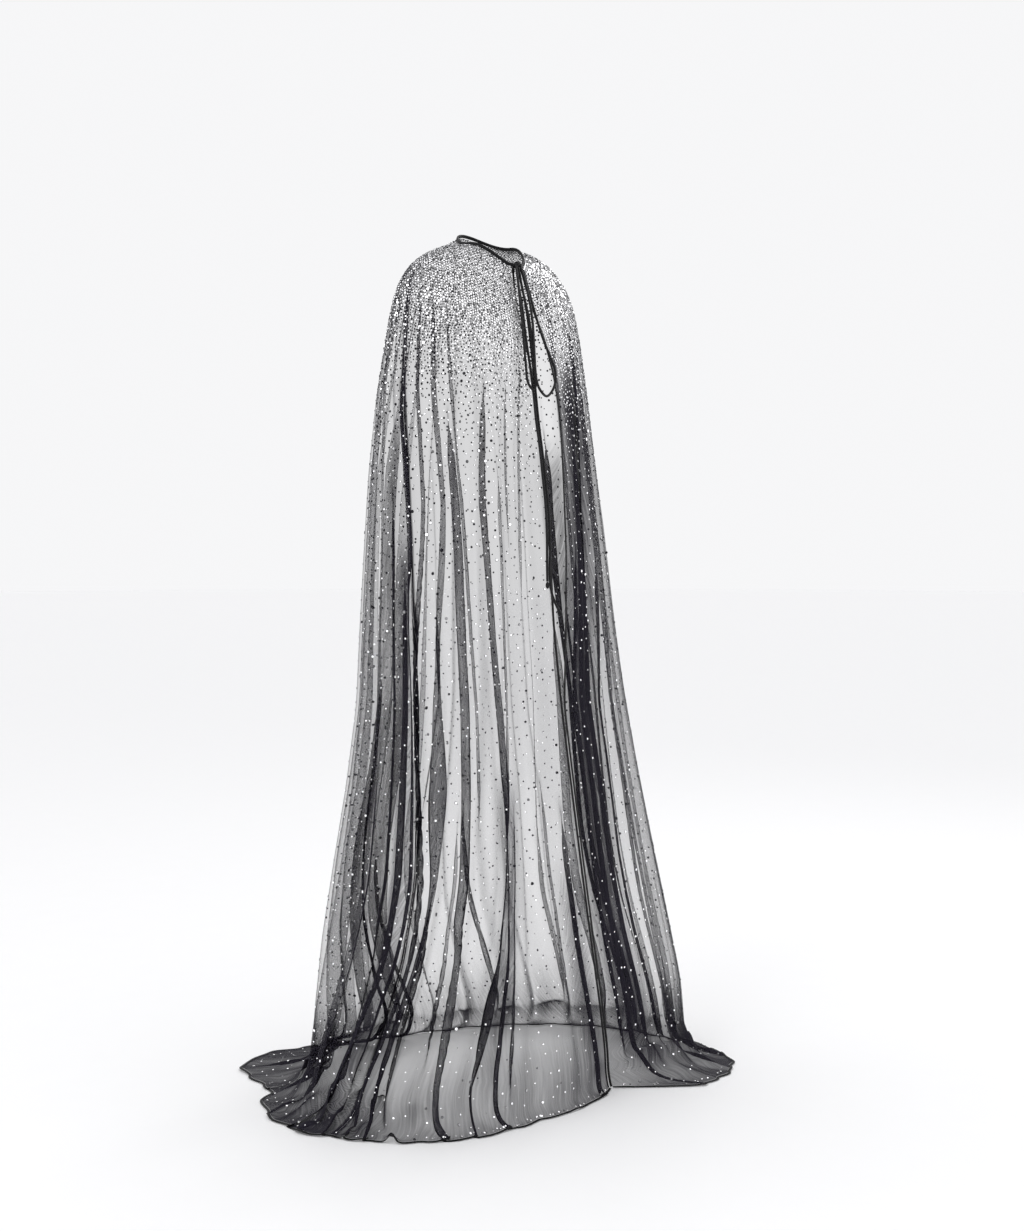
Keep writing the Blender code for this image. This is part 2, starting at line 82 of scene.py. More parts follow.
# The form of the cloth
STEPS_PER_PLEAT = 30
ROW_SPACING = 0.01
ROUNDING_PASSES = 6
TROUGH_SHARPNESS = 4
SEAM_GAP = 0.0003
EDGE_BINDING_WIDTH = 0.005
HEM_BINDING_WIDTH = 0.005
NECK_BINDING_WIDTH = 0.006
BINDING_THICKNESS = 0.0018
NECK_BINDING_THICKNESS = 0.0038
EDGE_BINDING_SHORT_OF_NECK = 0.002
BINDING_CORNERS = 12
BINDING_SQUARENESS = (0.45, 0.70)
NECK_BINDING_STEP = 3
NECK_BINDING_LEAN = 0.5
FOOT_LEAN = 0.5
# More layers of net where the cloth pools below this height, which also paint shadow on it
POOLED_LAYERS_AND_PAINTED_SHADOW = 1.3
POOLED_HEIGHT = 0.17
BUCKLES_FROM = -0.3
SETTLING_PASSES = 20
MERGE_DISTANCE = 1e-6
SHORTEST = 1e-12

# The look of the net, and the shades of black thread: how much one layer covers, the least
# slant that darkens it no further, and the fine creases in gathered layers
NET_PITCH = 0.0017
NET_COVER = 0.122
LEAST_SLANT = 0.23
CREASES_ACROSS = 230
CREASES_DOWN = 12
CREASES_WANDER = 5
CREASE_CONTRAST = 5.2
CREASE_START = 0.3
LEAST_CREASE = 0.2
NET_SHADES = ((0.009, 0.008, 0.012), (0.022, 0.020, 0.029))
SATIN_SHADES = ((0.003, 0.003, 0.0035), (0.009, 0.0085, 0.010))
SATIN_THREADS = 5200
PUCKERS = 260

# The sections, from the neck to the last one that stands clear of the floor. Heights are
# above the floor, at the front, the sides and the back; right, left, front and back are how
# far the oval reaches each way from its centre, which lies centre_back behind the neck's
# middle, and left_front is how far it reaches forward at its left end; pleats is how much of
# their depth the pleats have there.
SECTION_COLUMNS = (
    "front_height", "right_height", "left_height", "back_height",
    "right", "left", "front", "left_front", "back", "centre_back", "pleats",
)
SECTIONS = (
    (1.468, 1.508, 1.512, 1.533, 0.060, 0.060, 0.060, 0.060, 0.060, 0.015, 0.00),
    (1.450, 1.507, 1.513, 1.518, 0.092, 0.092, 0.071, 0.071, 0.080, 0.017, 0.00),
    (1.420, 1.494, 1.506, 1.486, 0.134, 0.134, 0.089, 0.089, 0.099, 0.020, 0.05),
    (1.385, 1.472, 1.488, 1.446, 0.173, 0.173, 0.110, 0.110, 0.116, 0.023, 0.15),
    (1.340, 1.436, 1.456, 1.398, 0.199, 0.199, 0.126, 0.126, 0.128, 0.024, 0.35),
    (1.280, 1.366, 1.385, 1.325, 0.218, 0.218, 0.137, 0.137, 0.139, 0.024, 0.55),
    (1.200, 1.260, 1.270, 1.228, 0.241, 0.244, 0.142, 0.142, 0.151, 0.024, 0.75),
    (1.090, 1.110, 1.110, 1.105, 0.258, 0.270, 0.150, 0.150, 0.166, 0.022, 0.95),
    (0.970, 0.970, 0.970, 0.970, 0.268, 0.292, 0.158, 0.158, 0.177, 0.020, 1.00),
    (0.840, 0.840, 0.840, 0.840, 0.277, 0.316, 0.163, 0.163, 0.188, 0.017, 1.00),
    (0.700, 0.700, 0.700, 0.700, 0.285, 0.345, 0.166, 0.171, 0.202, 0.012, 1.00),
    (0.560, 0.560, 0.560, 0.560, 0.303, 0.362, 0.178, 0.208, 0.229, 0.007, 1.00),
    (0.420, 0.420, 0.420, 0.420, 0.322, 0.386, 0.184, 0.252, 0.262, 0.004, 1.00),
    (0.280, 0.280, 0.280, 0.280, 0.338, 0.408, 0.190, 0.306, 0.292, 0.002, 1.00),
    (0.160, 0.160, 0.160, 0.160, 0.350, 0.424, 0.190, 0.353, 0.311, 0.000, 1.00),
    (0.070, 0.070, 0.070, 0.070, 0.358, 0.430, 0.187, 0.367, 0.320, 0.000, 1.00),
)

# The rows that turn out along the floor: how far each has come from the last section to the
# hem, its height, and how much the pleats stand up from it
FLOOR_ROWS = ((0.12, 0.0260, 0.010), (0.50, 0.0026, 0.012), (1.00, 0.0032, 0.000))

# The front opening: at each height, where its middle lies to the left and to the front, and
# half the distance between the two panels
OPENING_COLUMNS = ("height", "middle_x", "middle_y", "half_gap")
OPENING = (
    (1.468, -0.002, -0.045, 0.0145),
    (1.450, -0.001, -0.050, 0.0170),
    (1.400, 0.000, -0.062, 0.0250),
    (1.330, 0.000, -0.088, 0.0340),
    (1.270, 0.000, -0.106, 0.0340),
    (1.200, 0.000, -0.115, 0.0380),
    (1.080, 0.000, -0.129, 0.0290),
    (0.980, 0.000, -0.136, 0.0270),
    (0.820, 0.000, -0.141, 0.0200),
    (0.710, 0.001, -0.145, 0.0070),
    (0.500, 0.012, -0.169, 0.0065),
    (0.350, 0.030, -0.179, 0.0065),
    (0.160, 0.075, -0.178, 0.0065),
    (0.070, 0.106, -0.168, 0.0065),
    (0.000, 0.107, -0.176, 0.0065),
)

# The pleats, from the right front round the back. An angle is in degrees from the centre
# front towards the right: round the oval at five heights, and as a compass has it at the hem.
# Depths are at the waist and the shin. hem_dip is how far the hem reaches from the axis at
# the pleat, and hem_lobe how far between it and the next one.
PLEAT_HEIGHTS = (1.40, 1.05, 0.70, 0.35, 0.07)
THIGH = 2
DEPTH_HEIGHTS = (1.05, 0.35)
PLEAT_COLUMNS = (
    "shoulder", "waist", "thigh", "shin", "foot", "hem",
    "waist_depth", "shin_depth", "hem_dip", "hem_lobe",
)
RIGHT_FRONT_PLEATS = (
    (19, 21, 18, 11, -4, -4, 0.007, 0.014, 0.197, 0.204),
    (27, 28, 26, 22, 19, 30, 0.007, 0.014, 0.214, 0.247),
    (39, 38, 34, 32, 44, 58, 0.013, 0.030, 0.294, 0.318),
    (57, 50, 48, 48, 64, 72, 0.013, 0.034, 0.338, 0.360),
    (72, 62, 62, 62, 84, 85, 0.012, 0.032, 0.372, 0.390),
)
RIGHT_SEAM_PLEAT = (96, 79, 76, 73, 97, 95, 0.014, 0.040, 0.395, 0.423)
BACK_PLEATS = (
    (107, 91, 91, 91, 111, 108, 0.015, 0.042, 0.421, 0.432),
    (117, 102, 105, 106, 126, 121, 0.016, 0.040, 0.422, 0.425),
    (128, 114, 118, 120, 138, 134, 0.015, 0.042, 0.402, 0.420),
    (139, 127, 131, 133, 153, 148, 0.016, 0.044, 0.456, 0.488),
    (150, 141, 144, 147, 165, 160, 0.015, 0.042, 0.488, 0.480),
    (161, 155, 157, 160, 176, 173, 0.016, 0.040, 0.444, 0.424),
    (172, 169, 170, 172, 188, 187, 0.015, 0.042, 0.392, 0.382),
    (184, 183, 183, 185, 200, 202, 0.016, 0.044, 0.368, 0.374),
    (196, 197, 197, 198, 212, 216, 0.015, 0.042, 0.370, 0.386),
    (208, 211, 210, 212, 225, 230, 0.016, 0.040, 0.386, 0.402),
    (220, 225, 223, 225, 237, 242, 0.015, 0.042, 0.404, 0.420),
    (233, 238, 236, 238, 250, 253, 0.016, 0.042, 0.422, 0.436),
    (247, 251, 250, 252, 264, 264, 0.015, 0.044, 0.434, 0.446),
)
LEFT_SEAM_PLEAT = (264, 265, 264, 265, 276, 275, 0.014, 0.044, 0.440, 0.450)
LEFT_FRONT_PLEATS = (
    (280, 279, 278, 278, 286, 283, 0.013, 0.040, 0.446, 0.460),
    (294, 292, 292, 290, 294, 291, 0.013, 0.036, 0.456, 0.470),
    (308, 305, 305, 304, 303, 300, 0.013, 0.036, 0.466, 0.466),
    (322, 320, 321, 318, 314, 308, 0.013, 0.028, 0.448, 0.434),
    (337, 338, 341, 336, 325, 317, 0.012, 0.020, 0.404, 0.376),
)
PLEATS = (
    *RIGHT_FRONT_PLEATS, RIGHT_SEAM_PLEAT, *BACK_PLEATS, LEFT_SEAM_PLEAT, *LEFT_FRONT_PLEATS,
)
RIGHT_SEAM = len(RIGHT_FRONT_PLEATS) + 1
LEFT_SEAM = RIGHT_SEAM + len(BACK_PLEATS) + 1
LAST_LINE = len(PLEATS) + 1

# The lines that each panel runs between
PANEL_LINES = {
    "right_front": (0, RIGHT_SEAM),
    "back_panel": (RIGHT_SEAM, LEFT_SEAM),
    "left_front": (LEFT_SEAM, LAST_LINE),
}

# How many millimetres the crest after each line leans along the row, at the waist and shin: the
# cloth doubles back where it leans far. In front a positive lean is towards the left.
LEAN_HEIGHTS = (0.03, 0.14, 0.35, 1.05, 1.38)
CREST_LEANS = {
    1: (0, -2), 2: (-4, -6), 3: (3, -4), 4: (-4, -10), 5: (-16, -26), 6: (-24, -40),
    7: (-6, -22), 8: (3, 4), 9: (12, 12), 10: (6, 22), 11: (-3, 8), 12: (-14, -10),
    13: (-22, -30), 14: (-5, -20), 15: (2, -4), 16: (6, 4), 17: (4, 14), 18: (-4, 8),
    19: (-20, -18), 20: (-8, -14), 21: (2, -4), 22: (2, 2), 23: (7, 6), 24: (8, 16),
}

# The tight folds: the line where each lies at the five heights of the pleats, the heights of
# its top and bottom, half the width of cloth that it takes up and how far the cloth doubles
# back over itself, both in millimetres, and how many more layers of net are gathered in it,
# which also paint shade into the fold. With no overlap the cloth is only gathered there.
RIGHT_FRONT_FOLDS = (
    (0.80, 0.95, 1.30, 1.30, 1.30, 1.38, 0.86, 4, 3, 0.8),
    (1.88, 1.84, 1.80, 1.85, 1.90, 1.32, 0.94, 4, 3, 0.9),
    (0.45, 0.45, 0.45, 0.40, 0.40, 0.56, -0.2, 9, 8, 3.2),
    (0.95, 0.95, 0.97, 0.97, 1.20, 0.62, 0.14, 5, 4, 1.2),
    (2.90, 3.08, 2.86, 2.78, 2.62, 1.30, -0.2, 7, 7, 2.7),
    (2.95, 2.95, 2.95, 2.84, 3.02, 0.34, -0.2, 4, 4, 1.6),
    (2.95, 3.00, 2.96, 2.95, 2.98, 0.56, 0.06, 6, 6, 2.2),
    (2.55, 2.55, 2.50, 2.56, 2.40, 0.60, 0.00, 6, 5, 2.0),
    (4.45, 3.80, 3.63, 3.70, 3.60, 1.44, 0.46, 4, 4, 1.2),
    (4.50, 4.18, 4.10, 4.12, 3.62, 1.24, -0.2, 7, 8, 2.8),
    (4.30, 4.30, 4.36, 4.40, 4.05, 0.56, 0.08, 5, 4, 1.0),
    (5.05, 4.70, 5.15, 5.42, 5.20, 1.46, -0.2, 6, 6, 2.0),
    (5.38, 5.62, 6.05, 5.75, 5.60, 1.46, -0.2, 5, 6, 2.2),
    (5.20, 5.20, 5.28, 5.22, 4.90, 0.92, 0.02, 5, 4, 2.4),
)
BACK_FOLDS = (
    (6.35, 6.40, 6.42, 6.40, 6.20, 1.30, -0.2, 6, 6, 2.8),
    (6.60, 6.70, 6.72, 6.75, 6.60, 0.98, -0.2, 8, 10, 2.8),
    (7.10, 7.05, 7.05, 7.10, 6.95, 1.12, -0.2, 7, 9, 2.8),
    (7.40, 7.40, 7.42, 7.45, 7.35, 0.66, 0.00, 6, 6, 2.4),
    (7.80, 7.80, 7.75, 7.75, 7.70, 0.42, -0.2, 5, 5, 0.9),
    (8.55, 8.60, 8.60, 8.50, 8.40, 0.92, 0.40, 4, 3, 0.4),
    (9.30, 9.30, 9.40, 9.30, 9.30, 0.22, -0.2, 5, 4, 0.8),
    (10.2, 10.1, 9.95, 10.0, 10.1, 1.00, 0.46, 4, 3, 0.4),
    (11.4, 11.4, 11.4, 11.5, 11.5, 0.40, 0.00, 5, 4, 0.8),
    (12.2, 12.1, 12.1, 12.3, 12.3, 1.24, 0.00, 6, 8, 2.0),
    (12.7, 12.6, 12.6, 12.7, 12.8, 0.80, -0.2, 7, 8, 2.6),
    (13.2, 13.1, 13.1, 13.2, 13.3, 1.02, 0.00, 6, 6, 2.0),
    (13.6, 13.6, 13.6, 13.6, 13.7, 0.46, -0.2, 7, 7, 2.4),
    (14.9, 14.8, 14.8, 14.7, 14.6, 0.90, 0.20, 4, 3, 0.8),
    (15.8, 15.8, 15.7, 15.8, 15.9, 0.52, 0.00, 6, 6, 1.2),
    (17.0, 16.9, 17.0, 17.1, 17.2, 1.16, 0.40, 4, 3, 0.8),
    (17.8, 17.8, 17.7, 17.6, 17.6, 0.44, 0.00, 6, 5, 1.4),
    (18.9, 18.8, 18.9, 18.9, 18.8, 0.86, 0.02, 6, 6, 1.6),
    (19.3, 19.3, 19.4, 19.4, 19.4, 1.22, -0.2, 7, 9, 2.4),
    (19.6, 19.7, 19.7, 19.7, 19.8, 0.94, 0.00, 6, 6, 2.4),
)
LEFT_FRONT_FOLDS = (
    (20.4, 20.4, 20.3, 20.3, 20.3, 1.16, 0.10, 5, 5, 1.3),
    (21.3, 21.4, 21.5, 21.4, 21.3, 0.40, 0.00, 5, 5, 1.2),
    (22.3, 22.3, 22.4, 22.4, 22.3, 0.50, -0.2, 5, 4, 0.6),
    (22.9, 22.9, 22.9, 22.8, 22.8, 0.44, -0.2, 6, 5, 0.9),
    (23.2, 23.4, 23.4, 23.5, 23.5, 1.12, 0.00, 4, 4, 0.8),
    (24.0, 24.1, 24.4, 24.6, 24.6, 1.32, 0.02, 6, 6, 1.8),
    (24.3, 24.5, 24.8, 24.9, 24.9, 1.00, 0.00, 7, 8, 2.4),
    (24.6, 24.9, 25.1, 25.2, 25.2, 1.42, 0.00, 7, 8, 2.6),
    (25.0, 25.2, 25.4, 25.5, 25.5, 1.22, -0.1, 7, 8, 2.8),
    (25.3, 25.5, 25.7, 25.75, 25.7, 1.02, 0.00, 6, 6, 2.8),
)
# Broad gathers, in the same columns: the first two lie along the seams, and in the rest the layers
# also paint shade into the masses of folds
GATHERS = (
    (6.00, 6.00, 6.00, 6.00, 6.00, 1.49, -0.2, 3.2, 0, 16.0),
    (20.0, 20.0, 20.0, 20.0, 20.0, 1.49, -0.2, 2.8, 0, 9.0),
    (6.45, 6.60, 6.70, 6.75, 6.50, 1.02, -0.2, 32, 0, 1.3),
    (6.40, 6.50, 6.50, 6.50, 6.30, 0.50, -0.2, 40, 0, 0.7),
    (7.30, 7.30, 7.35, 7.35, 7.30, 0.46, -0.2, 22, 0, 0.6),
    (5.30, 5.30, 5.50, 5.60, 5.40, 0.40, -0.2, 26, 0, 1.2),
    (2.90, 2.90, 2.90, 2.78, 2.78, 0.62, 0.04, 19, 0, 2.4),
    (24.9, 25.1, 25.3, 25.5, 25.4, 1.34, 0.00, 34, 0, 5.0),
    (0.40, 0.40, 0.40, 0.40, 0.50, 0.46, 0.00, 24, 0, 2.4),
    (12.8, 12.8, 12.8, 12.8, 12.9, 0.74, -0.2, 40, 0, 1.3),
    (19.6, 19.6, 19.6, 19.5, 19.5, 1.20, 0.00, 30, 0, 2.4),
)
FOLDS = RIGHT_FRONT_FOLDS + BACK_FOLDS + LEFT_FRONT_FOLDS + GATHERS
FOLD_FADE = 0.12
FOLD_RISE = 0.3

# Where the cloth buckles on the floor: the line, how many lines it spreads over, how far out
# it lies towards the hem and over what share of that, how many millimetres it rises, and how
# many more layers are gathered there, which also paint shadow on the cloth on the floor
BUCKLES = (
    (0.35, 0.22, 0.15, 0.24, 16, 2.4),
    (1.40, 0.10, 0.70, 0.30, 6, 0.4),
    (2.62, 0.07, 0.55, 0.40, 10, 0.3),
    (3.62, 0.07, 0.60, 0.36, 9, 0.3),
    (4.20, 0.14, 0.22, 0.24, 14, 1.0),
    (4.62, 0.10, 0.94, 0.16, 14, 2.0),
    (5.05, 0.24, 0.16, 0.18, 22, 3.6),
    (5.30, 0.12, 0.62, 0.26, 16, 2.6),
    (5.62, 0.10, 0.80, 0.24, 14, 2.4),
    (5.90, 0.26, 0.18, 0.22, 26, 4.2),
    (6.20, 0.12, 0.58, 0.22, 18, 2.8),
    (6.50, 0.10, 0.82, 0.20, 14, 2.4),
    (6.85, 0.30, 0.15, 0.20, 24, 4.2),
    (7.25, 0.12, 0.50, 0.24, 17, 2.8),
    (7.65, 0.14, 0.74, 0.24, 14, 2.2),
    (8.10, 0.40, 0.16, 0.18, 20, 3.4),
    (8.80, 0.14, 0.55, 0.30, 14, 2.0),
    (9.40, 0.50, 0.22, 0.16, 20, 3.0),
    (10.3, 0.16, 0.60, 0.30, 14, 1.8),
    (10.9, 0.60, 0.18, 0.15, 20, 3.0),
    (12.2, 0.50, 0.24, 0.16, 20, 3.2),
    (13.3, 0.50, 0.14, 0.16, 22, 3.4),
    (14.4, 0.16, 0.50, 0.30, 12, 1.2),
    (15.0, 0.45, 0.20, 0.14, 16, 2.2),
    (16.2, 0.45, 0.26, 0.16, 16, 2.4),
    (17.4, 0.50, 0.16, 0.15, 18, 3.0),
    (18.5, 0.45, 0.24, 0.16, 18, 3.0),
    (19.5, 0.45, 0.15, 0.18, 20, 3.4),
    (20.4, 0.30, 0.30, 0.20, 16, 2.4),
    (21.3, 0.14, 0.50, 0.30, 13, 1.4),
    (22.3, 0.30, 0.16, 0.18, 20, 2.8),
    (22.9, 0.10, 0.62, 0.26, 14, 2.0),
    (23.6, 0.28, 0.18, 0.20, 22, 3.4),
    (24.2, 0.10, 0.60, 0.26, 15, 1.0),
    (24.7, 0.24, 0.16, 0.20, 20, 2.4),
    (25.3, 0.26, 0.14, 0.20, 22, 2.8),
)

# The cords of the bow, as points along each, with heights above the floor. They follow the
# routes of the solids. The knot's turns are ovals of cord: how far aside each lies, how wide,
# deep and high it is, and how far it rises at the front.
CORD_DIAMETER = 0.0045
CORD_POINT_SPACING = 0.9 * CORD_DIAMETER
STEPS_PER_SPAN = 40
TURN_STEPS = 28
KNOT_CORD_DIAMETER = 0.0042
KNOT_WRAPS = (
    (-0.0030, 0.0014, 0.0046, 0.0050, 0.0),
    (0.0018, -0.0010, 0.0048, 0.0052, 0.0),
    (-0.0004, 0.0066, 0.0036, 0.0, -0.0014),
)
KNOT_MIDDLE = (-0.002, -0.048, 1.474)
TIP_LENGTH = 0.012
TIP_DIAMETER = 0.0068
CORD_ROUTES = {
    "left_loop": (
        (0.0039, -0.0536, 1.4692), (0.0015, -0.064, 1.448), (-0.009, -0.083, 1.414),
        (-0.016, -0.098, 1.384), (-0.015, -0.1135, 1.342), (-0.004, -0.123, 1.307),
        (0.002, -0.1275, 1.287), (-0.001, -0.1315, 1.268), (-0.012, -0.1335, 1.25),
        (-0.031, -0.135, 1.238), (-0.0475, -0.1345, 1.246), (-0.0555, -0.1325, 1.26),
        (-0.056, -0.129, 1.281), (-0.0465, -0.119, 1.323), (-0.0315, -0.104, 1.37),
        (-0.0165, -0.085, 1.411), (-0.0055, -0.0675, 1.444), (-0.0014, -0.055, 1.469),
    ),
    "right_loop": (
        (-0.0114, -0.0524, 1.4722), (-0.024, -0.066, 1.444), (-0.04, -0.083, 1.405),
        (-0.056, -0.101, 1.361), (-0.067, -0.113, 1.325), (-0.073, -0.121, 1.292),
        (-0.0755, -0.126, 1.266), (-0.071, -0.128, 1.254), (-0.0615, -0.1285, 1.248),
        (-0.053, -0.1275, 1.256), (-0.0495, -0.123, 1.282), (-0.044, -0.1135, 1.325),
        (-0.033, -0.098, 1.371), (-0.023, -0.0795, 1.412), (-0.013, -0.064, 1.444),
        (-0.0064, -0.0539, 1.4691),
    ),
    "left_tie_end": (
        (0.001, -0.0491, 1.4657), (-0.006, -0.06, 1.44), (-0.023, -0.0845, 1.39),
        (-0.038, -0.104, 1.338), (-0.045, -0.1155, 1.292), (-0.0475, -0.123, 1.246),
        (-0.046, -0.129, 1.19), (-0.043, -0.136, 1.132), (-0.041, -0.141, 1.083),
        (-0.038, -0.145, 1.033), (-0.04, -0.149, 0.984), (-0.0435, -0.151, 0.938),
        (-0.042, -0.1525, 0.905), (-0.0325, -0.154, 0.882), (-0.022, -0.155, 0.867),
    ),
    "right_tie_end": (
        (-0.0042, -0.049, 1.4661), (-0.015, -0.06, 1.44), (-0.035, -0.085, 1.39),
        (-0.05, -0.104, 1.338), (-0.0545, -0.1165, 1.288), (-0.0545, -0.124, 1.241),
        (-0.054, -0.129, 1.197), (-0.051, -0.134, 1.154), (-0.0485, -0.139, 1.102),
        (-0.0465, -0.144, 1.05), (-0.047, -0.1475, 0.998), (-0.0505, -0.1505, 0.947),
        (-0.0515, -0.152, 0.918),
    ),
}

# The stones: how far down the cloth from the neck, how far apart they are there, and how
# large. Their looseness and the spread of their sizes grow with the pitch, from least to most.
STONE_COLUMNS = ("distance", "pitch", "diameter")
STONE_ROWS = (
    (0.000, 0.0052, 0.0038),
    (0.170, 0.0055, 0.0038),
    (0.250, 0.0084, 0.0036),
    (0.340, 0.0145, 0.0035),
    (0.550, 0.0220, 0.0035),
    (1.000, 0.0275, 0.0035),
    (1.800, 0.0305, 0.0035),
)
STONE_SIDES = 6
STONE_TABLE = 0.8
STONE_HEIGHT = 0.36
STONE_TILT = 0.6 * math.sin(math.radians(9))
STONE_ROW_SHARE = 0.87
STONE_LOOSENESS = (0.14, 62.5, 0.36)
STONE_SPREAD = (0.16, 12, 0.24)
STONE_MARGIN = 0.004
STONE_ROWS_FROM_NECK = 0.3
STONE_ROWS_FROM_HEM = 1.4
STONE_CLEAR_OF_NET = 0.0001
STONE_FACE_UP = 0.9
# Painted light on the stones: the strength of a painted glow, the share painted dark, and the
# painted glint ranges of dark and bright stones
PAINTED_STONE_GLOW = 0.6
PAINTED_DARK_STONES_SHARE = 0.26
PAINTED_DARK_REFLECTIONS = (0, 0.3)
PAINTED_HIGHLIGHTS = (0.75, 1)
SHOULDER_STONES_TO = 0.27

# The numbers of a Mix node's sockets for colours
MIX_FIRST_COLOUR = 6
MIX_SECOND_COLOUR = 7
MIX_COLOUR_RESULT = 2


class Value:
    """One output of a shader node. Arithmetic on it adds Math nodes."""

    def __init__(self, finish, socket):
        self.finish = finish
        self.socket = socket

    def math(self, operation, *values):
        sockets = dict(enumerate(values))
        return self.finish.node("ShaderNodeMath", 0, {"operation": operation}, sockets)

    def __add__(self, other):
        return self.math("ADD", self, other)

    def __sub__(self, other):
        return self.math("SUBTRACT", self, other)

    def __rsub__(self, other):
        return self.math("SUBTRACT", other, self)

    def __mul__(self, other):
        return self.math("MULTIPLY", self, other)

    def __truediv__(self, other):
        return self.math("DIVIDE", self, other)

    def __pow__(self, other):
        return self.math("POWER", self, other)

    def at_least(self, other):
        return self.math("MAXIMUM", self, other)

    def wave(self):
        return self.math("COSINE", self)

    __radd__ = __add__
    __rmul__ = __mul__


class Finish:
    """A material with one Principled shader, built up from formulas."""

    def __init__(self, name, **constants):
        self.material = bpy.data.materials.new(name)
        self.material.use_nodes = True
        self.tree = self.material.node_tree
        self.shader = self.tree.nodes["Principled BSDF"]
        for socket, value in constants.items():
            self.shader.inputs[socket.replace("_", " ")].default_value = value

    def node(self, kind, output, settings, sockets):
        """Any node: its settings first, then the values or links of its sockets, which are
        given by name or by number."""
        made = self.tree.nodes.new(kind)
        for setting, value in settings.items():
            setattr(made, setting, value)
        for socket, value in sockets.items():
            if isinstance(value, Value):
                self.tree.links.new(value.socket, made.inputs[socket])
            else:
                made.inputs[socket].default_value = value
        return Value(self, made.outputs[output])

    def drive(self, socket, value):
        self.tree.links.new(value.socket, self.shader.inputs[socket])

    def object_point(self):
        return self.node("ShaderNodeTexCoord", "Object", {}, {})

    def along_and_down(self):
        """The two lengths of the piece's own map, in metres."""
        point = self.node("ShaderNodeTexCoord", "UV", {}, {})
        return [self.node("ShaderNodeSeparateXYZ", axis, {}, {0: point}) for axis in ("X", "Y")]

    def attribute(self, name):
        return self.node("ShaderNodeAttribute", "Fac", {"attribute_name": name}, {})

    def noise(self, scale, detail=2):
        sockets = {"Vector": self.object_point(), "Scale": scale, "Detail": detail}
        return self.node("ShaderNodeTexNoise", 0, {}, sockets)

    def mixed(self, share, first, second):
        """A colour between two, by a share from 0 to 1."""
        sockets = {0: share, MIX_FIRST_COLOUR: (*first, 1), MIX_SECOND_COLOUR: (*second, 1)}
        return self.node("ShaderNodeMix", MIX_COLOUR_RESULT, {"data_type": "RGBA"}, sockets)

    def bump(self, height, distance, strength=1.0):
        sockets = {"Height": height, "Distance": distance, "Strength": strength}
        return self.node("ShaderNodeBump", 0, {}, sockets)


def column(table, columns, name):
    """One named column of a table, as an array."""
    return np.array([row[columns.index(name)] for row in table], float)


def unit(vectors):
    return vectors / np.maximum(np.linalg.norm(vectors, axis=-1, keepdims=True), SHORTEST)


def at_height(height, heights, values):
    """Values given at falling heights, read at one height."""
    return float(np.interp(height, heights[::-1], values[::-1]))


def opening_edges(height):
    """Where the right and the left panel end at the front, at this height."""
    heights = column(OPENING, OPENING_COLUMNS, "height")
    x, y, gap = (
        at_height(height, heights, column(OPENING, OPENING_COLUMNS, name))
        for name in ("middle_x", "middle_y", "half_gap")
    )
    return np.array((x - gap, y)), np.array((x + gap, y))


def oval_reach(row, angle):
    """The section's reach along X and along Y at these angles."""
    across, ahead = np.sin(angle), np.cos(angle)
    front = row["front"] + (row["left_front"] - row["front"]) * np.where(across > 0, 0, across**2)
    return np.where(across > 0, row["right"], row["left"]), np.where(ahead < 0, row["back"], front)


def oval_points(row, angle, share):
    side, reach = oval_reach(row, angle)
    return -share * side * np.sin(angle), row["centre_back"] - share * reach * np.cos(angle)


def oval_place(row, point):
    """The angle of a point, and its share of the oval's reach."""
    x, y = -point[0], row["centre_back"] - point[1]
    angle = math.atan2(x, y)
    for _ in range(SETTLING_PASSES):
        side, reach = oval_reach(row, angle)
        angle = math.atan2(x / side, y / reach)
    return angle, math.hypot(x / side, y / reach)


def section_height(row, angle):
    side = np.where(np.sin(angle) > 0, row["right_height"], row["left_height"])
    end = np.where(np.cos(angle) > 0, row["front_height"], row["back_height"])
    return side + (end - side) * np.cos(angle) ** 2


def pleat_lines(row):
    """The angle and the share of the oval's reach of each line, at its trough: first the
    right panel's front edge, then every pleat, then the left panel's front edge."""
    middle = (row["front_height"] + row["left_height"] + row["back_height"]) / 3
    right_edge, left_edge = opening_edges(row["front_height"])
    lines = [oval_place(row, right_edge)]
    for pleat in PLEATS:
        by_name = dict(zip(PLEAT_COLUMNS, pleat))
        angle = math.radians(at_height(middle, PLEAT_HEIGHTS, pleat[:len(PLEAT_HEIGHTS)]))
        depths = (by_name["waist_depth"], by_name["shin_depth"])
        depth = row["pleats"] * at_height(middle, DEPTH_HEIGHTS, depths)
        x, y = oval_points(row, angle, 1.0)
        lines.append((angle, 1 - depth / math.hypot(x, y - row["centre_back"])))
    angle, share = oval_place(row, left_edge)
    lines.append((angle % math.tau if angle < -math.pi / 2 else angle + math.tau, share))
    return np.array(lines).T


def lift(part):
    """How far the cloth has come out of a pleat, from 0 at its line to 1 at the crest."""
    return 1 - np.cos(np.pi * part) ** TROUGH_SHARPNESS


def split_places(places):
    """The line before each place along a row, and how far past it the place is."""
    before = np.minimum(places.astype(int), LAST_LINE - 1)
    return before, places - before


def standing_row(row, places):
    """One section at the given places. The cloth runs straight from a front edge to the
    pleat beside it."""
    angles, shares = pleat_lines(row)
    before, part = split_places(places)
    angle = angles[before] + (angles[before + 1] - angles[before]) * part
    near = np.where(part < 0.5, shares[before], shares[before + 1])
    pleated = (1 - near) * (1 - lift(part))
    straight = (1 - shares[before]) * (1 - part) + (1 - shares[before + 1]) * part
    at_edge = (before == 0) | (before == LAST_LINE - 1)
    x, y = oval_points(row, angle, 1 - np.where(at_edge, straight, pleated))
    return np.stack((x, y, section_height(row, angle)), axis=1)


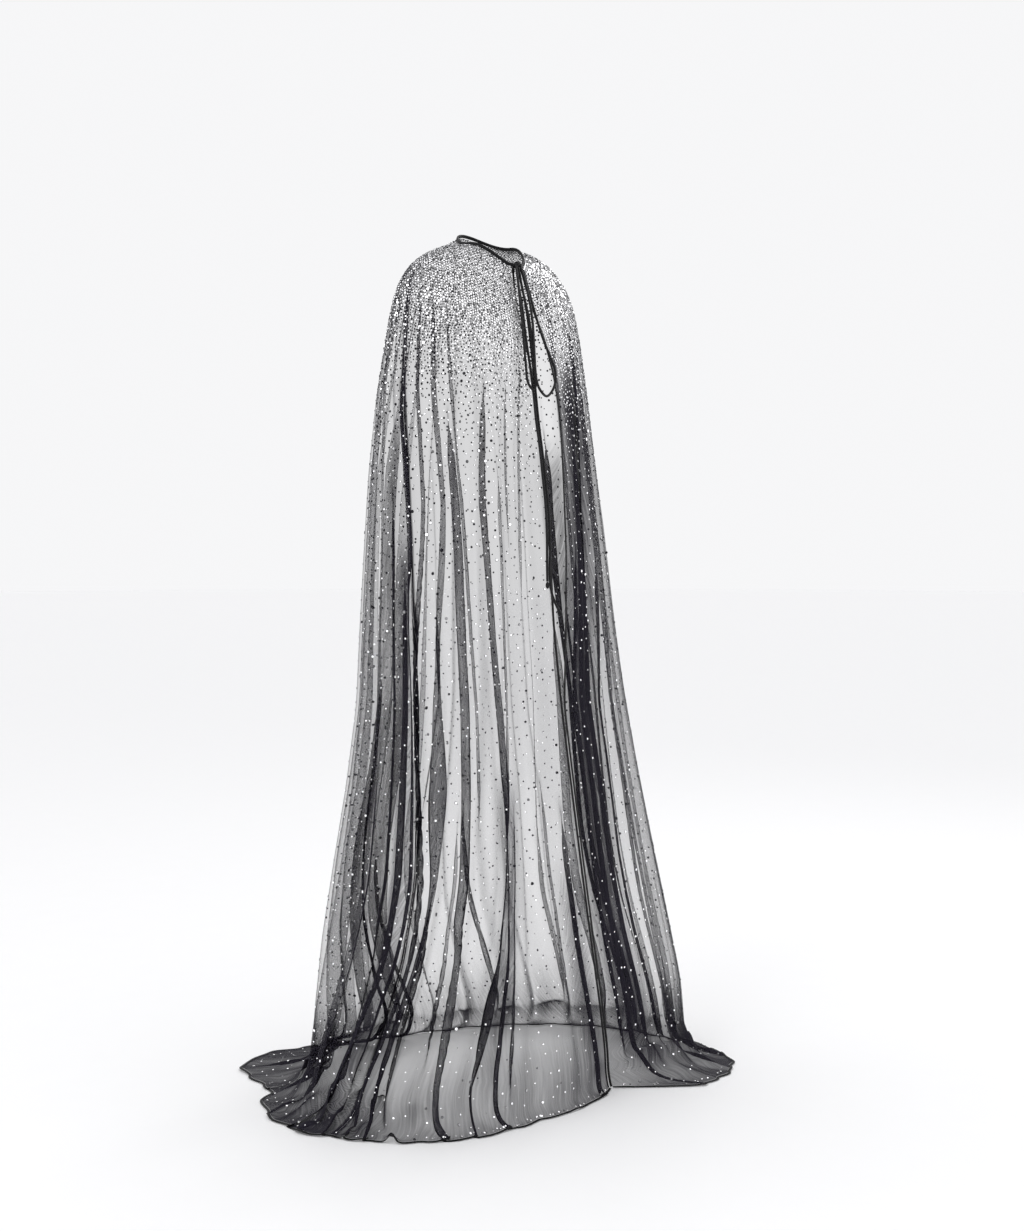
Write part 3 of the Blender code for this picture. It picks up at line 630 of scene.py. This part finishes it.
def hem_row(places):
    """The hem as it lies on the floor, along X and Y."""
    right_corner, left_corner = opening_edges(0)
    first, last = (math.atan2(-x, -y) for x, y in (right_corner, left_corner))
    dips = column(PLEATS, PLEAT_COLUMNS, "hem_dip")
    dips = np.array((np.linalg.norm(right_corner), *dips, np.linalg.norm(left_corner)))
    turns = np.radians(column(PLEATS, PLEAT_COLUMNS, "hem"))
    angles = np.array((first, *turns, last + math.tau))
    lobes = np.array(((dips[0] + dips[1]) / 2, *column(PLEATS, PLEAT_COLUMNS, "hem_lobe")))
    before, part = split_places(places)
    near = np.where(part < 0.5, dips[before], dips[before + 1])
    reach = lobes[before] + (near - lobes[before]) * np.cos(np.pi * part) ** 2
    angle = angles[before] + (angles[before + 1] - angles[before]) * part
    return np.stack((-reach * np.sin(angle), -reach * np.cos(angle)), axis=1)


def section_rows(places):
    """The cloth as the solids have it, at its sections and its rows on the floor."""
    rows = [standing_row(dict(zip(SECTION_COLUMNS, row)), places) for row in SECTIONS]
    foot, hem = rows[-1], hem_row(places)
    _, part = split_places(places)
    for share, height, ridge in FLOOR_ROWS:
        flat = foot[:, :2] + (hem - foot[:, :2]) * share
        rows.append(np.column_stack((flat, height + ridge * (1 - lift(part)))))
    return np.array(rows)


def filled_rows(rows):
    """The same cloth with a row every ROW_SPACING, rounded where two sections meet."""
    lengths = np.linalg.norm(np.diff(rows, axis=0), axis=2).mean(axis=1)
    counts = np.maximum(np.round(lengths / ROW_SPACING).astype(int), 1)
    fine = [
        start + (end - start) * (step / count)
        for start, end, count in zip(rows, rows[1:], counts)
        for step in range(count)
    ]
    fine = np.array(fine + [rows[-1]])
    for _ in range(ROUNDING_PASSES):
        fine[1:-1] = (fine[:-2] + 2 * fine[1:-1] + fine[2:]) / 4
    return fine


def plain_directions(grid):
    """The ways along and out of the cloth with its pleats averaged away."""
    reach = STEPS_PER_PLEAT
    padded = np.pad(grid, ((0, 0), (reach, reach), (0, 0)), mode="reflect", reflect_type="odd")
    total = np.cumsum(np.pad(padded, ((0, 0), (1, 0), (0, 0))), axis=1)
    plain = (total[:, 2 * reach + 1:] - total[:, : -2 * reach - 1]) / (2 * reach + 1)
    along = unit(np.gradient(plain, axis=1))
    down = unit(np.gradient(plain, axis=0))
    return along, unit(np.cross(along, down))


def leant(grid, places):
    """The cloth with its crests leant along the rows."""
    before, part = split_places(places)
    along, _ = plain_directions(grid)
    heights = grid[:, :, 2]
    shift = np.zeros_like(heights)
    for line, (waist, shin) in CREST_LEANS.items():
        columns = before == line
        amounts = (0.0, FOOT_LEAN * shin, shin, waist, 0.0)
        leans = np.interp(heights[:, columns], LEAN_HEIGHTS, amounts) * MILLIMETRE
        shift[:, columns] = leans * lift(part[columns])
    return grid + along * shift[:, :, None]


def soft_step(amount):
    amount = np.clip(amount, 0, 1)
    return amount * amount * (3 - 2 * amount)


def buckled(grid, places):
    """The cloth with its rises on the floor, and the layers gathered in them and where it lies,
    which also paint shadow on it.
    """
    lowest = int(np.argmax(grid[:, :, 2].mean(axis=1) < FOOT_HEIGHT))
    share = np.clip((np.arange(len(grid)) - lowest) / (len(grid) - 1 - lowest), BUCKLES_FROM, 1)
    layers = POOLED_LAYERS_AND_PAINTED_SHADOW * soft_step(1 - grid[:, :, 2] / POOLED_HEIGHT)
    for line, lines, middle, shares, rise, gathered_and_painted_shade in BUCKLES:
        outwards = np.exp(-(((share - middle) / shares) ** 2))
        form = outwards[:, None] * np.exp(-(((places - line) / lines) ** 2))
        grid[:, :, 2] += rise * MILLIMETRE * form
        layers += gathered_and_painted_shade * form
    return grid, layers


def folded(grid, layers):
    """The cloth with its tight folds, and the layers gathered in them, which also paint shade into
    them.
    """
    along, out = plain_directions(grid)
    lengths = lengths_along(grid, 1)
    heights = grid[:, :, 2].copy()
    columns = np.arange(grid.shape[1])
    for *lines, top, bottom, half_width, overlap, gathered_and_painted_shade in FOLDS:
        row_heights = heights[:, round(lines[THIGH] * STEPS_PER_PLEAT)]
        places = np.interp(row_heights, PLEAT_HEIGHTS[::-1], lines[::-1]) * STEPS_PER_PLEAT
        middles = np.array([np.interp(place, columns, row) for place, row in zip(places, lengths)])
        strength = soft_step((top - row_heights) / FOLD_FADE)
        strength *= soft_step((row_heights - bottom) / FOLD_FADE)
        share = (lengths - middles[:, None]) / (half_width * MILLIMETRE)
        # More layers of net gathered in the fold, which also paint shade into it
        layers += gathered_and_painted_shade * strength[:, None] * np.exp(-(share**2))
        if overlap > 0:
            turn = strength[:, None] * share * np.exp((1 - share**2) / 2) * MILLIMETRE
            pulled = along * (half_width + overlap / 2) - out * (overlap * FOLD_RISE)
            grid = grid - pulled * turn[:, :, None]
    grid[:, :, 2] = np.maximum(grid[:, :, 2], LEAST_HEIGHT)
    return grid, layers


def cloth_grid():
    """The finished cloth, as rows of points from the neck to the hem, and how many more
    layers of net are gathered at each, which also paint shade and shadow there."""
    places = np.linspace(0, LAST_LINE, LAST_LINE * STEPS_PER_PLEAT + 1)
    grid = leant(filled_rows(section_rows(places)), places)
    grid, layers = folded(*buckled(grid, places))
    grid[:, :, 2] -= HOLD_HEIGHT
    return grid, layers


def cloth_normals(grid):
    faces = unit(np.cross(grid[:-1, 1:] - grid[:-1, :-1], grid[1:, :-1] - grid[:-1, :-1]))
    padded = np.pad(faces, ((1, 1), (1, 1), (0, 0)), mode="edge")
    return unit(padded[:-1, :-1] + padded[1:, :-1] + padded[:-1, 1:] + padded[1:, 1:])


def lengths_along(points, axis):
    """How far each point has come along its row or column, in metres."""
    steps = np.linalg.norm(np.diff(points, axis=axis), axis=2)
    start = np.zeros_like(np.take(steps, [0], axis=axis))
    return np.concatenate((start, np.cumsum(steps, axis=axis)), axis=axis)


def linked(name, data):
    obj = bpy.data.objects.new(name, data)
    bpy.context.scene.collection.objects.link(obj)
    return obj


def aim(obj, direction):
    obj.rotation_mode = "QUATERNION"
    obj.rotation_quaternion = direction.to_track_quat("-Z", "Y")


def mesh_of(name, bm):
    mesh = bpy.data.meshes.new(name)
    bm.to_mesh(mesh)
    bm.free()
    mesh.shade_smooth()
    return mesh


def piece_of(name, data, finish):
    """A piece of the cloak, from its mesh or curve."""
    piece = linked(name, data)
    data.materials.append(finish)
    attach(piece, "root")
    return piece


def surface(name, points, finish, closed_round=False, capped=False, layers=None):
    """A smooth sheet through rows of points, with a map of its own lengths in metres. Where
    closed_round is set its last row meets its first, and capped fills its two ends. layers
    has how many more layers of net are gathered at each point, which also paint shade there."""
    rows, columns = points.shape[:2]
    bm = bmesh.new()
    uv = bm.loops.layers.uv.new("lengths")
    gathered_and_painted_shade = bm.verts.layers.float.new("layers")
    bmesh.ops.create_grid(bm, x_segments=columns - 1, y_segments=rows - 1, size=1.0)
    across, down = lengths_along(points, 1), lengths_along(points, 0)
    across = across - across[:, [columns // 2]]
    for vert in bm.verts:
        j = round((vert.co.x + 1) / 2 * (columns - 1))
        i = round((vert.co.y + 1) / 2 * (rows - 1))
        for loop in vert.link_loops:
            loop[uv].uv = (across[i, j], down[i, j])
        if layers is not None:
            vert[gathered_and_painted_shade] = layers[i, j]
        vert.co = points[i, j]
    if closed_round:
        bmesh.ops.remove_doubles(bm, verts=bm.verts, dist=MERGE_DISTANCE)
    if capped:
        ends = [edge for edge in bm.edges if edge.is_boundary]
        bmesh.ops.holes_fill(bm, edges=ends)
        bmesh.ops.recalc_face_normals(bm, faces=bm.faces)
    return piece_of(name, mesh_of(name, bm), finish)


def strip_ring(width, thickness):
    """The section of a folded binding: across its width and through it, all round."""
    turns = np.linspace(0, math.tau, BINDING_CORNERS + 1)
    across, through = (
        np.sign(wave) * np.abs(wave) ** squareness
        for wave, squareness in zip((np.cos(turns), np.sin(turns)), BINDING_SQUARENESS)
    )
    return (across + 1) / 2 * width, through * thickness / 2


def binding(name, edge, away, through, width, finish, thickness=BINDING_THICKNESS):
    """A folded strip along an edge of the cloth, out from it by its width."""
    across, thick = strip_ring(width, thickness)
    outwards = away[None] * (SEAM_GAP + across)[:, None, None]
    points = edge[None] + outwards + through[None] * thick[:, None, None]
    return surface(name, points, finish, closed_round=True, capped=True)


def beside(edge, through):
    """At each point of an edge, the way out beside it, square to the edge and to the wall."""
    return unit(np.cross(np.gradient(edge, axis=0), through))


def make_bindings(grid, normals, finish):
    made = {}
    for side, at, turn in (("right", 0, -1), ("left", -1, 1)):
        edge, through = grid[:, at].copy(), normals[:, at]
        edge[0] += unit(edge[1] - edge[0]) * EDGE_BINDING_SHORT_OF_NECK
        node = side + "_edge_binding"
        away = turn * beside(edge, through)
        piece = binding(side + "_edge_strip", edge, away, through, EDGE_BINDING_WIDTH, finish)
        made[node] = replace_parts(piece, node)
    upright = np.tile((0.0, 0.0, 1.0), (grid.shape[1], 1))
    hem = grid[-1] - upright * BINDING_THICKNESS / 2
    piece = binding("hem_strip", hem, -beside(hem, upright), upright, HEM_BINDING_WIDTH, finish)
    made["hem_binding"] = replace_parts(piece, "hem_binding")

    neck = grid[0, ::NECK_BINDING_STEP]
    below = grid[NECK_BINDING_STEP, ::NECK_BINDING_STEP]
    rising = unit(NECK_BINDING_LEAN * unit(neck - below) + np.array((0, 0, 1.0)))
    past = SEAM_GAP + EDGE_BINDING_WIDTH
    first = neck[0] + unit(neck[0] - neck[1]) * past
    last = neck[-1] + unit(neck[-1] - neck[-2]) * past
    neck = np.concatenate(([first], neck, [last]))
    rising = np.concatenate((rising[:1], rising, rising[-1:]))
    through = unit(np.cross(np.gradient(neck, axis=0), -rising))
    piece = binding(
        "neck_strip", neck, rising, through, NECK_BINDING_WIDTH, finish, NECK_BINDING_THICKNESS
    )
    made["neck_binding"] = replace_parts(piece, "neck_binding")
    return made


def net_finish():
    """Black net: a fine six-sided mesh, darker where the cloth is seen along its surface and
    where layers of it are gathered, with fine creases there; the gathered layers paint shade too."""
    finish = Finish("black_net", Roughness=0.8, Specular_IOR_Level=0.05)
    along, down = finish.along_and_down()
    turn = math.tau / NET_PITCH
    threads = (along * turn).wave()
    for side in (1, -1):
        threads = threads + (along * (turn / 2) + down * (side * turn * math.sqrt(3) / 2)).wave()
    # The sum of the three waves runs from -1.5 to 3
    open_share = (threads + 1.5) / 4.5
    clouds = finish.noise(7, 3)
    cover = NET_COVER * (1.35 - 0.7 * open_share) * (0.8 + 0.4 * clouds)
    sockets = {"X": along * CREASES_ACROSS + clouds * CREASES_WANDER, "Y": down * CREASES_DOWN}
    stretched = finish.node("ShaderNodeCombineXYZ", 0, {}, sockets)
    sockets = {"Vector": stretched, "Scale": 1, "Detail": 3}
    creases = finish.node("ShaderNodeTexNoise", 0, {}, sockets)
    layers = finish.attribute("layers")
    packed = 1 + layers * (creases * CREASE_CONTRAST - CREASE_START).at_least(LEAST_CREASE)
    facing = finish.node("ShaderNodeLayerWeight", "Facing", {}, {"Blend": 0.5})
    slant = (1 - facing).at_least(LEAST_SLANT)
    alpha = 1 - (1 - cover) ** (packed / slant)
    finish.drive("Alpha", alpha)
    finish.drive("Base Color", finish.mixed(clouds, *NET_SHADES))
    return finish.material


def ribbon_finish():
    """Black satin binding, with a fine cross weave and small puckers."""
    finish = Finish("black_binding", Specular_IOR_Level=0.16)
    along, down = finish.along_and_down()
    weave = (along * SATIN_THREADS).wave() * (down * SATIN_THREADS).wave()
    pucker = finish.noise(PUCKERS)
    finish.drive("Normal", finish.bump(weave * 0.25 + pucker, 0.0004))
    finish.drive("Base Color", finish.mixed(pucker, *SATIN_SHADES))
    finish.drive("Roughness", 0.36 + 0.2 * pucker)
    return finish.material


def cord_finish():
    """Black satin cord: a soft sheen over a fine slanting weave."""
    finish = Finish("black_cord", Specular_IOR_Level=0.22)
    sockets = {"Vector": finish.object_point(), "Scale": 420, "Distortion": 1.5, "Detail": 1}
    weave = finish.node("ShaderNodeTexWave", "Fac", {"bands_direction": "DIAGONAL"}, sockets)
    finish.drive("Normal", finish.bump(weave, 0.0003, 0.6))
    finish.drive("Base Color", finish.mixed(weave, *SATIN_SHADES))
    finish.drive("Roughness", 0.30 + 0.16 * weave)
    return finish.material


def stone_finish():
    """The cut face of a stone, with painted light: some get a painted highlight and a painted glow,
    and the others a painted dark reflection.
    """
    coat = {"Coat_Weight": 1, "Coat_Roughness": 0.03}
    finish = Finish("cut_stone_painted_glint", Metallic=0.8, Emission_Strength=PAINTED_STONE_GLOW, **coat)
    painted_glint = finish.attribute("painted_glint")
    finish.drive("Base Color", finish.mixed(painted_glint, (0.02, 0.02, 0.025), (0.97, 0.97, 1.0)))
    finish.drive("Emission Color", finish.mixed(painted_glint, (0.0, 0.0, 0.0), (1.0, 1.0, 1.0)))
    finish.drive("Roughness", 0.34 - 0.24 * painted_glint)
    return finish.material


def foil_finish():
    """The dark back and rim of a stone."""
    finish = Finish("stone_back", Metallic=0.3)
    speck = finish.noise(900, 1)
    finish.drive("Base Color", finish.mixed(speck, (0.02, 0.02, 0.023), (0.07, 0.07, 0.08)))
    finish.drive("Roughness", 0.35 + 0.2 * speck)
    return finish.material


def smooth_route(points):
    """Points at an even spacing along a smooth curve through a route's points."""
    route = [Vector((x, y, z - HOLD_HEIGHT)) for x, y, z in points]
    route = [route[0] * 2 - route[1]] + route + [route[-1] * 2 - route[-2]]
    fine = []
    for before, start, end, after in zip(route, route[1:], route[2:], route[3:]):
        for step in range(STEPS_PER_SPAN):
            t = step / STEPS_PER_SPAN
            squared = (2 * before - 5 * start + 4 * end - after) * t**2
            cubed = (3 * start - before - 3 * end + after) * t**3
            fine.append(0.5 * (2 * start + (end - before) * t + squared + cubed))
    fine = np.array(fine + [route[-2]])
    travelled = np.concatenate(([0], np.cumsum(np.linalg.norm(np.diff(fine, axis=0), axis=1))))
    count = max(round(travelled[-1] / CORD_POINT_SPACING), 2)
    at = np.linspace(0, travelled[-1], count + 1)
    return np.stack([np.interp(at, travelled, fine[:, axis]) for axis in range(3)], axis=1)


def cord_curve(name, routes, finish, diameter=CORD_DIAMETER, closed=False):
    """Round cord along one or more routes, as one piece."""
    curve = bpy.data.curves.new(name, "CURVE")
    curve.dimensions = "3D"
    curve.bevel_depth = diameter / 2
    curve.bevel_resolution = 4
    curve.use_fill_caps = True
    for route in routes:
        spline = curve.splines.new("POLY")
        spline.points.add(len(route) - 1)
        for made, (x, y, z) in zip(spline.points, route):
            made.co = (x, y, z, 1)
        spline.use_cyclic_u = closed
        spline.use_smooth = True
    return piece_of(name, curve, finish)


def knot(finish):
    """The knot of the bow: turns of cord pulled tight over the roots of the loops."""
    x, y, z = KNOT_MIDDLE
    around = np.linspace(0, math.tau, TURN_STEPS, endpoint=False)
    across, ahead = np.cos(around), np.sin(around)
    turns = []
    for aside, wide, deep, high, rise in KNOT_WRAPS:
        upwards = high * across + rise * ahead
        turn = np.stack((aside + wide * across, deep * ahead, upwards), axis=1)
        turns.append(turn + np.array((x, y, z - HOLD_HEIGHT)))
    piece = cord_curve("bow_knot", turns, finish, KNOT_CORD_DIAMETER, closed=True)
    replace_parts(piece, "tie_knot")


def tip(name, points, finish):
    """The small knot at the end of a cord, in line with it."""
    heading = Vector(points[-1] - points[-2]).normalized()
    middle = Vector(points[-1]) + heading * (TIP_LENGTH / 2 + SEAM_GAP)
    turn = Vector((0, 0, 1)).rotation_difference(heading).to_matrix()
    bm = bmesh.new()
    bmesh.ops.create_uvsphere(bm, u_segments=20, v_segments=14, radius=1)
    bmesh.ops.scale(bm, vec=(TIP_DIAMETER / 2, TIP_DIAMETER / 2, TIP_LENGTH / 2), verts=bm.verts)
    bmesh.ops.rotate(bm, matrix=turn, verts=bm.verts)
    bmesh.ops.translate(bm, vec=middle, verts=bm.verts)
    return piece_of(name, mesh_of(name, bm), finish)


def bow(finish):
    """The two loops and the two free ends, each its own cord, and their knot."""
    knot(finish)
    for node, route in CORD_ROUTES.items():
        points = smooth_route(route)
        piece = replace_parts(cord_curve(node + "_cord", [points], finish), node)
        end = {"far_end": "object", "with_pieces": []}
        if node.endswith("_end"):
            tip_node = node[:-4] + "_tip"
            end = {
                "far_end": "knot",
                "with_pieces": [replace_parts(tip(tip_node + "_knot", points, finish), tip_node)],
            }


def read_at(grid, rows, columns):
    """The grid at fractional rows and columns."""
    i = np.clip(rows.astype(int), 0, grid.shape[0] - 2)
    j = np.clip(columns.astype(int), 0, grid.shape[1] - 2)
    down, along = (rows - i)[:, None], (columns - j)[:, None]
    near = grid[i, j] * (1 - along) + grid[i, j + 1] * along
    far = grid[i + 1, j] * (1 - along) + grid[i + 1, j + 1] * along
    return near * (1 - down) + far * down


def stone_places(grid, chance):
    """Rows and columns of the grid where the stones go, their distances from the neck and
    their diameters. They lie in rows round the cloth, a pitch apart, a little unevenly."""
    down = lengths_along(grid, 0)
    distances = column(STONE_ROWS, STONE_COLUMNS, "distance")
    pitches = column(STONE_ROWS, STONE_COLUMNS, "pitch")
    diameters = column(STONE_ROWS, STONE_COLUMNS, "diameter")
    rows, columns, travelled, sizes = [], [], [], []
    numbers = np.arange(grid.shape[1])
    reach = STONE_MARGIN
    while reach < down[-1].max() - STONE_MARGIN:
        pitch = float(np.interp(reach, distances, pitches))
        row_of = np.array([np.interp(reach, down[:, j], np.arange(len(down))) for j in numbers])
        line = read_at(grid, row_of, numbers.astype(float))
        along = np.concatenate(([0], np.cumsum(np.linalg.norm(np.diff(line, axis=0), axis=1))))
        count = int(along[-1] / pitch) - 1
        loose, spread = (
            min(least + (pitch - pitches[0]) * growth, most)
            for least, growth, most in (STONE_LOOSENESS, STONE_SPREAD)
        )
        at = (np.arange(count) + 1 + chance.uniform(-loose, loose, count)) * along[-1] / (count + 1)
        depth = reach + chance.uniform(-loose, loose, count) * pitch * STONE_ROW_SHARE
        column_at = np.interp(at, along, numbers)
        row_at = np.interp(at, along, row_of) + (depth - reach) / ROW_SPACING
        kept = (row_at > STONE_ROWS_FROM_NECK) & (row_at < len(grid) - STONE_ROWS_FROM_HEM)
        scales = chance.lognormal(0.0, spread, count)
        rows.append(row_at[kept])
        columns.append(column_at[kept])
        travelled.append(depth[kept])
        sizes.append((np.interp(depth, distances, diameters) * scales)[kept])
        reach += pitch * STONE_ROW_SHARE
    return (np.concatenate(parts) for parts in (rows, columns, travelled, sizes))


def stone_shape():
    """One stone of unit radius: a low cut crown on a flat back."""
    bm = bmesh.new()
    bmesh.ops.create_cone(
        bm, cap_ends=True, segments=STONE_SIDES, radius1=1, radius2=STONE_TABLE, depth=STONE_HEIGHT
    )
    bmesh.ops.translate(bm, vec=(0, 0, STONE_HEIGHT / 2), verts=bm.verts)
    bm.verts.index_update()
    corners = np.array([vert.co for vert in bm.verts])
    faces = [[vert.index for vert in face.verts] for face in bm.faces]
    dark = [face.normal.z < STONE_FACE_UP for face in bm.faces]
    bm.free()
    return corners, faces, dark


def joined_stones(name, places, axes, sizes, painted_glints, painted_glint_finish, foil):
    """Copies of the stone joined into one mesh. axes holds each stone's three directions."""
    corners, faces, dark = stone_shape()
    count, each = len(places), len(corners)
    points = places[:, None] + (sizes / 2)[:, None, None] * np.einsum("kc,ncd->nkd", corners, axes)
    starts = np.arange(count) * each
    all_faces = [[start + corner for corner in face] for start in starts.tolist() for face in faces]
    mesh = bpy.data.meshes.new(name)
    mesh.from_pydata(points.reshape(-1, 3).tolist(), [], all_faces)
    piece = piece_of(name, mesh, painted_glint_finish)
    mesh.materials.append(foil)
    mesh.polygons.foreach_set("material_index", np.tile(np.array(dark, np.int32), count))
    # Each stone's painted glint: high gives a painted highlight and glow, low a painted dark
    # reflection
    painted_glint = mesh.attributes.new("painted_glint", "FLOAT", "POINT")
    painted_glint.data.foreach_set("value", np.repeat(painted_glints, each))
    return piece


def stones(grid, normals):
    """The stones of the three panels, by panel, in an upper and a lower piece each."""
    chance = np.random.default_rng(SEED)
    painted_glint_finish, foil = stone_finish(), foil_finish()
    rows, columns, travelled, sizes = stone_places(grid, chance)
    places = read_at(grid, rows, columns)
    out = unit(read_at(normals, rows, columns) + chance.normal(0, STONE_TILT, places.shape))
    side = unit(np.cross(out, chance.normal(size=places.shape)))
    axes = np.stack((side, np.cross(out, side), out), axis=1)
    # Each stone gets a painted glint: a share are painted dark, and the rest painted bright
    painted_dark = chance.uniform(0, 1, len(places)) < PAINTED_DARK_STONES_SHARE
    painted_glints = (chance.uniform(*ends, len(places)) for ends in (PAINTED_DARK_REFLECTIONS, PAINTED_HIGHLIGHTS))
    painted_glints = np.where(painted_dark, *painted_glints)
    places = places + out * STONE_CLEAR_OF_NET
    lines = columns / STEPS_PER_PLEAT
    made = {}
    for panel, (first, last) in PANEL_LINES.items():
        made[panel] = []
        in_panel = (lines >= first) & (lines < last)
        near = travelled <= SHOULDER_STONES_TO
        for part, chosen in (("shoulder", in_panel & near), ("skirt", in_panel & ~near)):
            shapes = (values[chosen] for values in (places, axes, sizes, painted_glints))
            made[panel].append(joined_stones(f"{panel}_{part}_stones", *shapes, painted_glint_finish, foil))
    return made


def panels(grid, layers, finish):
    """The three panels of net, half a seam gap short of the lines where they are sewn."""
    along = unit(np.gradient(grid, axis=1))
    for name, (first, last) in PANEL_LINES.items():
        columns = slice(first * STEPS_PER_PLEAT, last * STEPS_PER_PLEAT + 1)
        points = grid[:, columns].copy()
        if first > 0:
            points[:, 0] += along[:, columns][:, 0] * SEAM_GAP / 2
        if last < LAST_LINE:
            points[:, -1] -= along[:, columns][:, -1] * SEAM_GAP / 2
        net = surface(name + "_net", points, finish, layers=layers[:, columns])
        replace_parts(net, name)


def camera():
    away = Vector((math.sin(CAMERA_TURN), math.cos(CAMERA_TURN), 0))
    right = Vector((away.y, -away.x, 0))
    data = bpy.data.cameras.new("camera")
    data.sensor_width = SENSOR
    data.lens = SENSOR * PIXELS_PER_METRE_AT_ONE_METRE / max(IMAGE_SIZE)
    obj = linked("camera", data)
    obj.location = -CAMERA_DISTANCE * away + CAMERA_ASIDE * right
    obj.location.z = CAMERA_HEIGHT - HOLD_HEIGHT
    drop = (IMAGE_SIZE[1] / 2 - HORIZON_ROW) / PIXELS_PER_METRE_AT_ONE_METRE
    aim(obj, away - Vector((0, 0, drop)))
    bpy.context.scene.camera = obj
    return away, right


def lamp(name, away, right):
    beyond, aside, up, size, power = LAMPS[name]
    data = bpy.data.lights.new(name, "AREA")
    data.shape = "DISK"
    data.size = size
    data.energy = power
    obj = linked(name, data)
    offset = beyond * away + aside * right + Vector((0, 0, up))
    obj.location = Vector(LAMPS_AIM) + offset
    aim(obj, -offset)


def studio(away, right):
    """A pale floor and soft light from all round, a little stronger from above the camera."""
    world = bpy.data.worlds.new("studio")
    bpy.context.scene.world = world
    world.use_nodes = True
    background = world.node_tree.nodes["Background"]
    background.inputs["Color"].default_value = SKY
    background.inputs["Strength"].default_value = SKY_STRENGTH
    for name in LAMPS:
        lamp(name, away, right)

    finish = Finish("pale_floor", Roughness=0.6)
    grain = finish.noise(14, 3)
    finish.drive("Base Color", finish.mixed(grain, (0.975, 0.975, 0.98), (0.99, 0.99, 0.995)))
    bm = bmesh.new()
    bmesh.ops.create_circle(bm, cap_ends=True, segments=64, radius=FLOOR_RADIUS)
    bmesh.ops.translate(bm, vec=(0, 0, -HOLD_HEIGHT), verts=bm.verts)
    floor = linked("floor", mesh_of("floor", bm))
    floor.data.materials.append(finish.material)


def main():
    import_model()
    away, right = camera()
    bow(cord_finish())
    grid, layers = cloth_grid()
    normals = cloth_normals(grid)
    bindings = make_bindings(grid, normals, ribbon_finish())
    trims = stones(grid, normals)
    trims["right_front"].append(bindings["right_edge_binding"])
    trims["left_front"].append(bindings["left_edge_binding"])
    trims["back_panel"] += [bindings["neck_binding"], bindings["hem_binding"]]
    panels(grid, layers, net_finish())
    studio(away, right)
    scene = bpy.context.scene
    scene.view_settings.view_transform = "Standard"
    scene.cycles.transparent_max_bounces = LAYERS_SEEN_THROUGH


main()
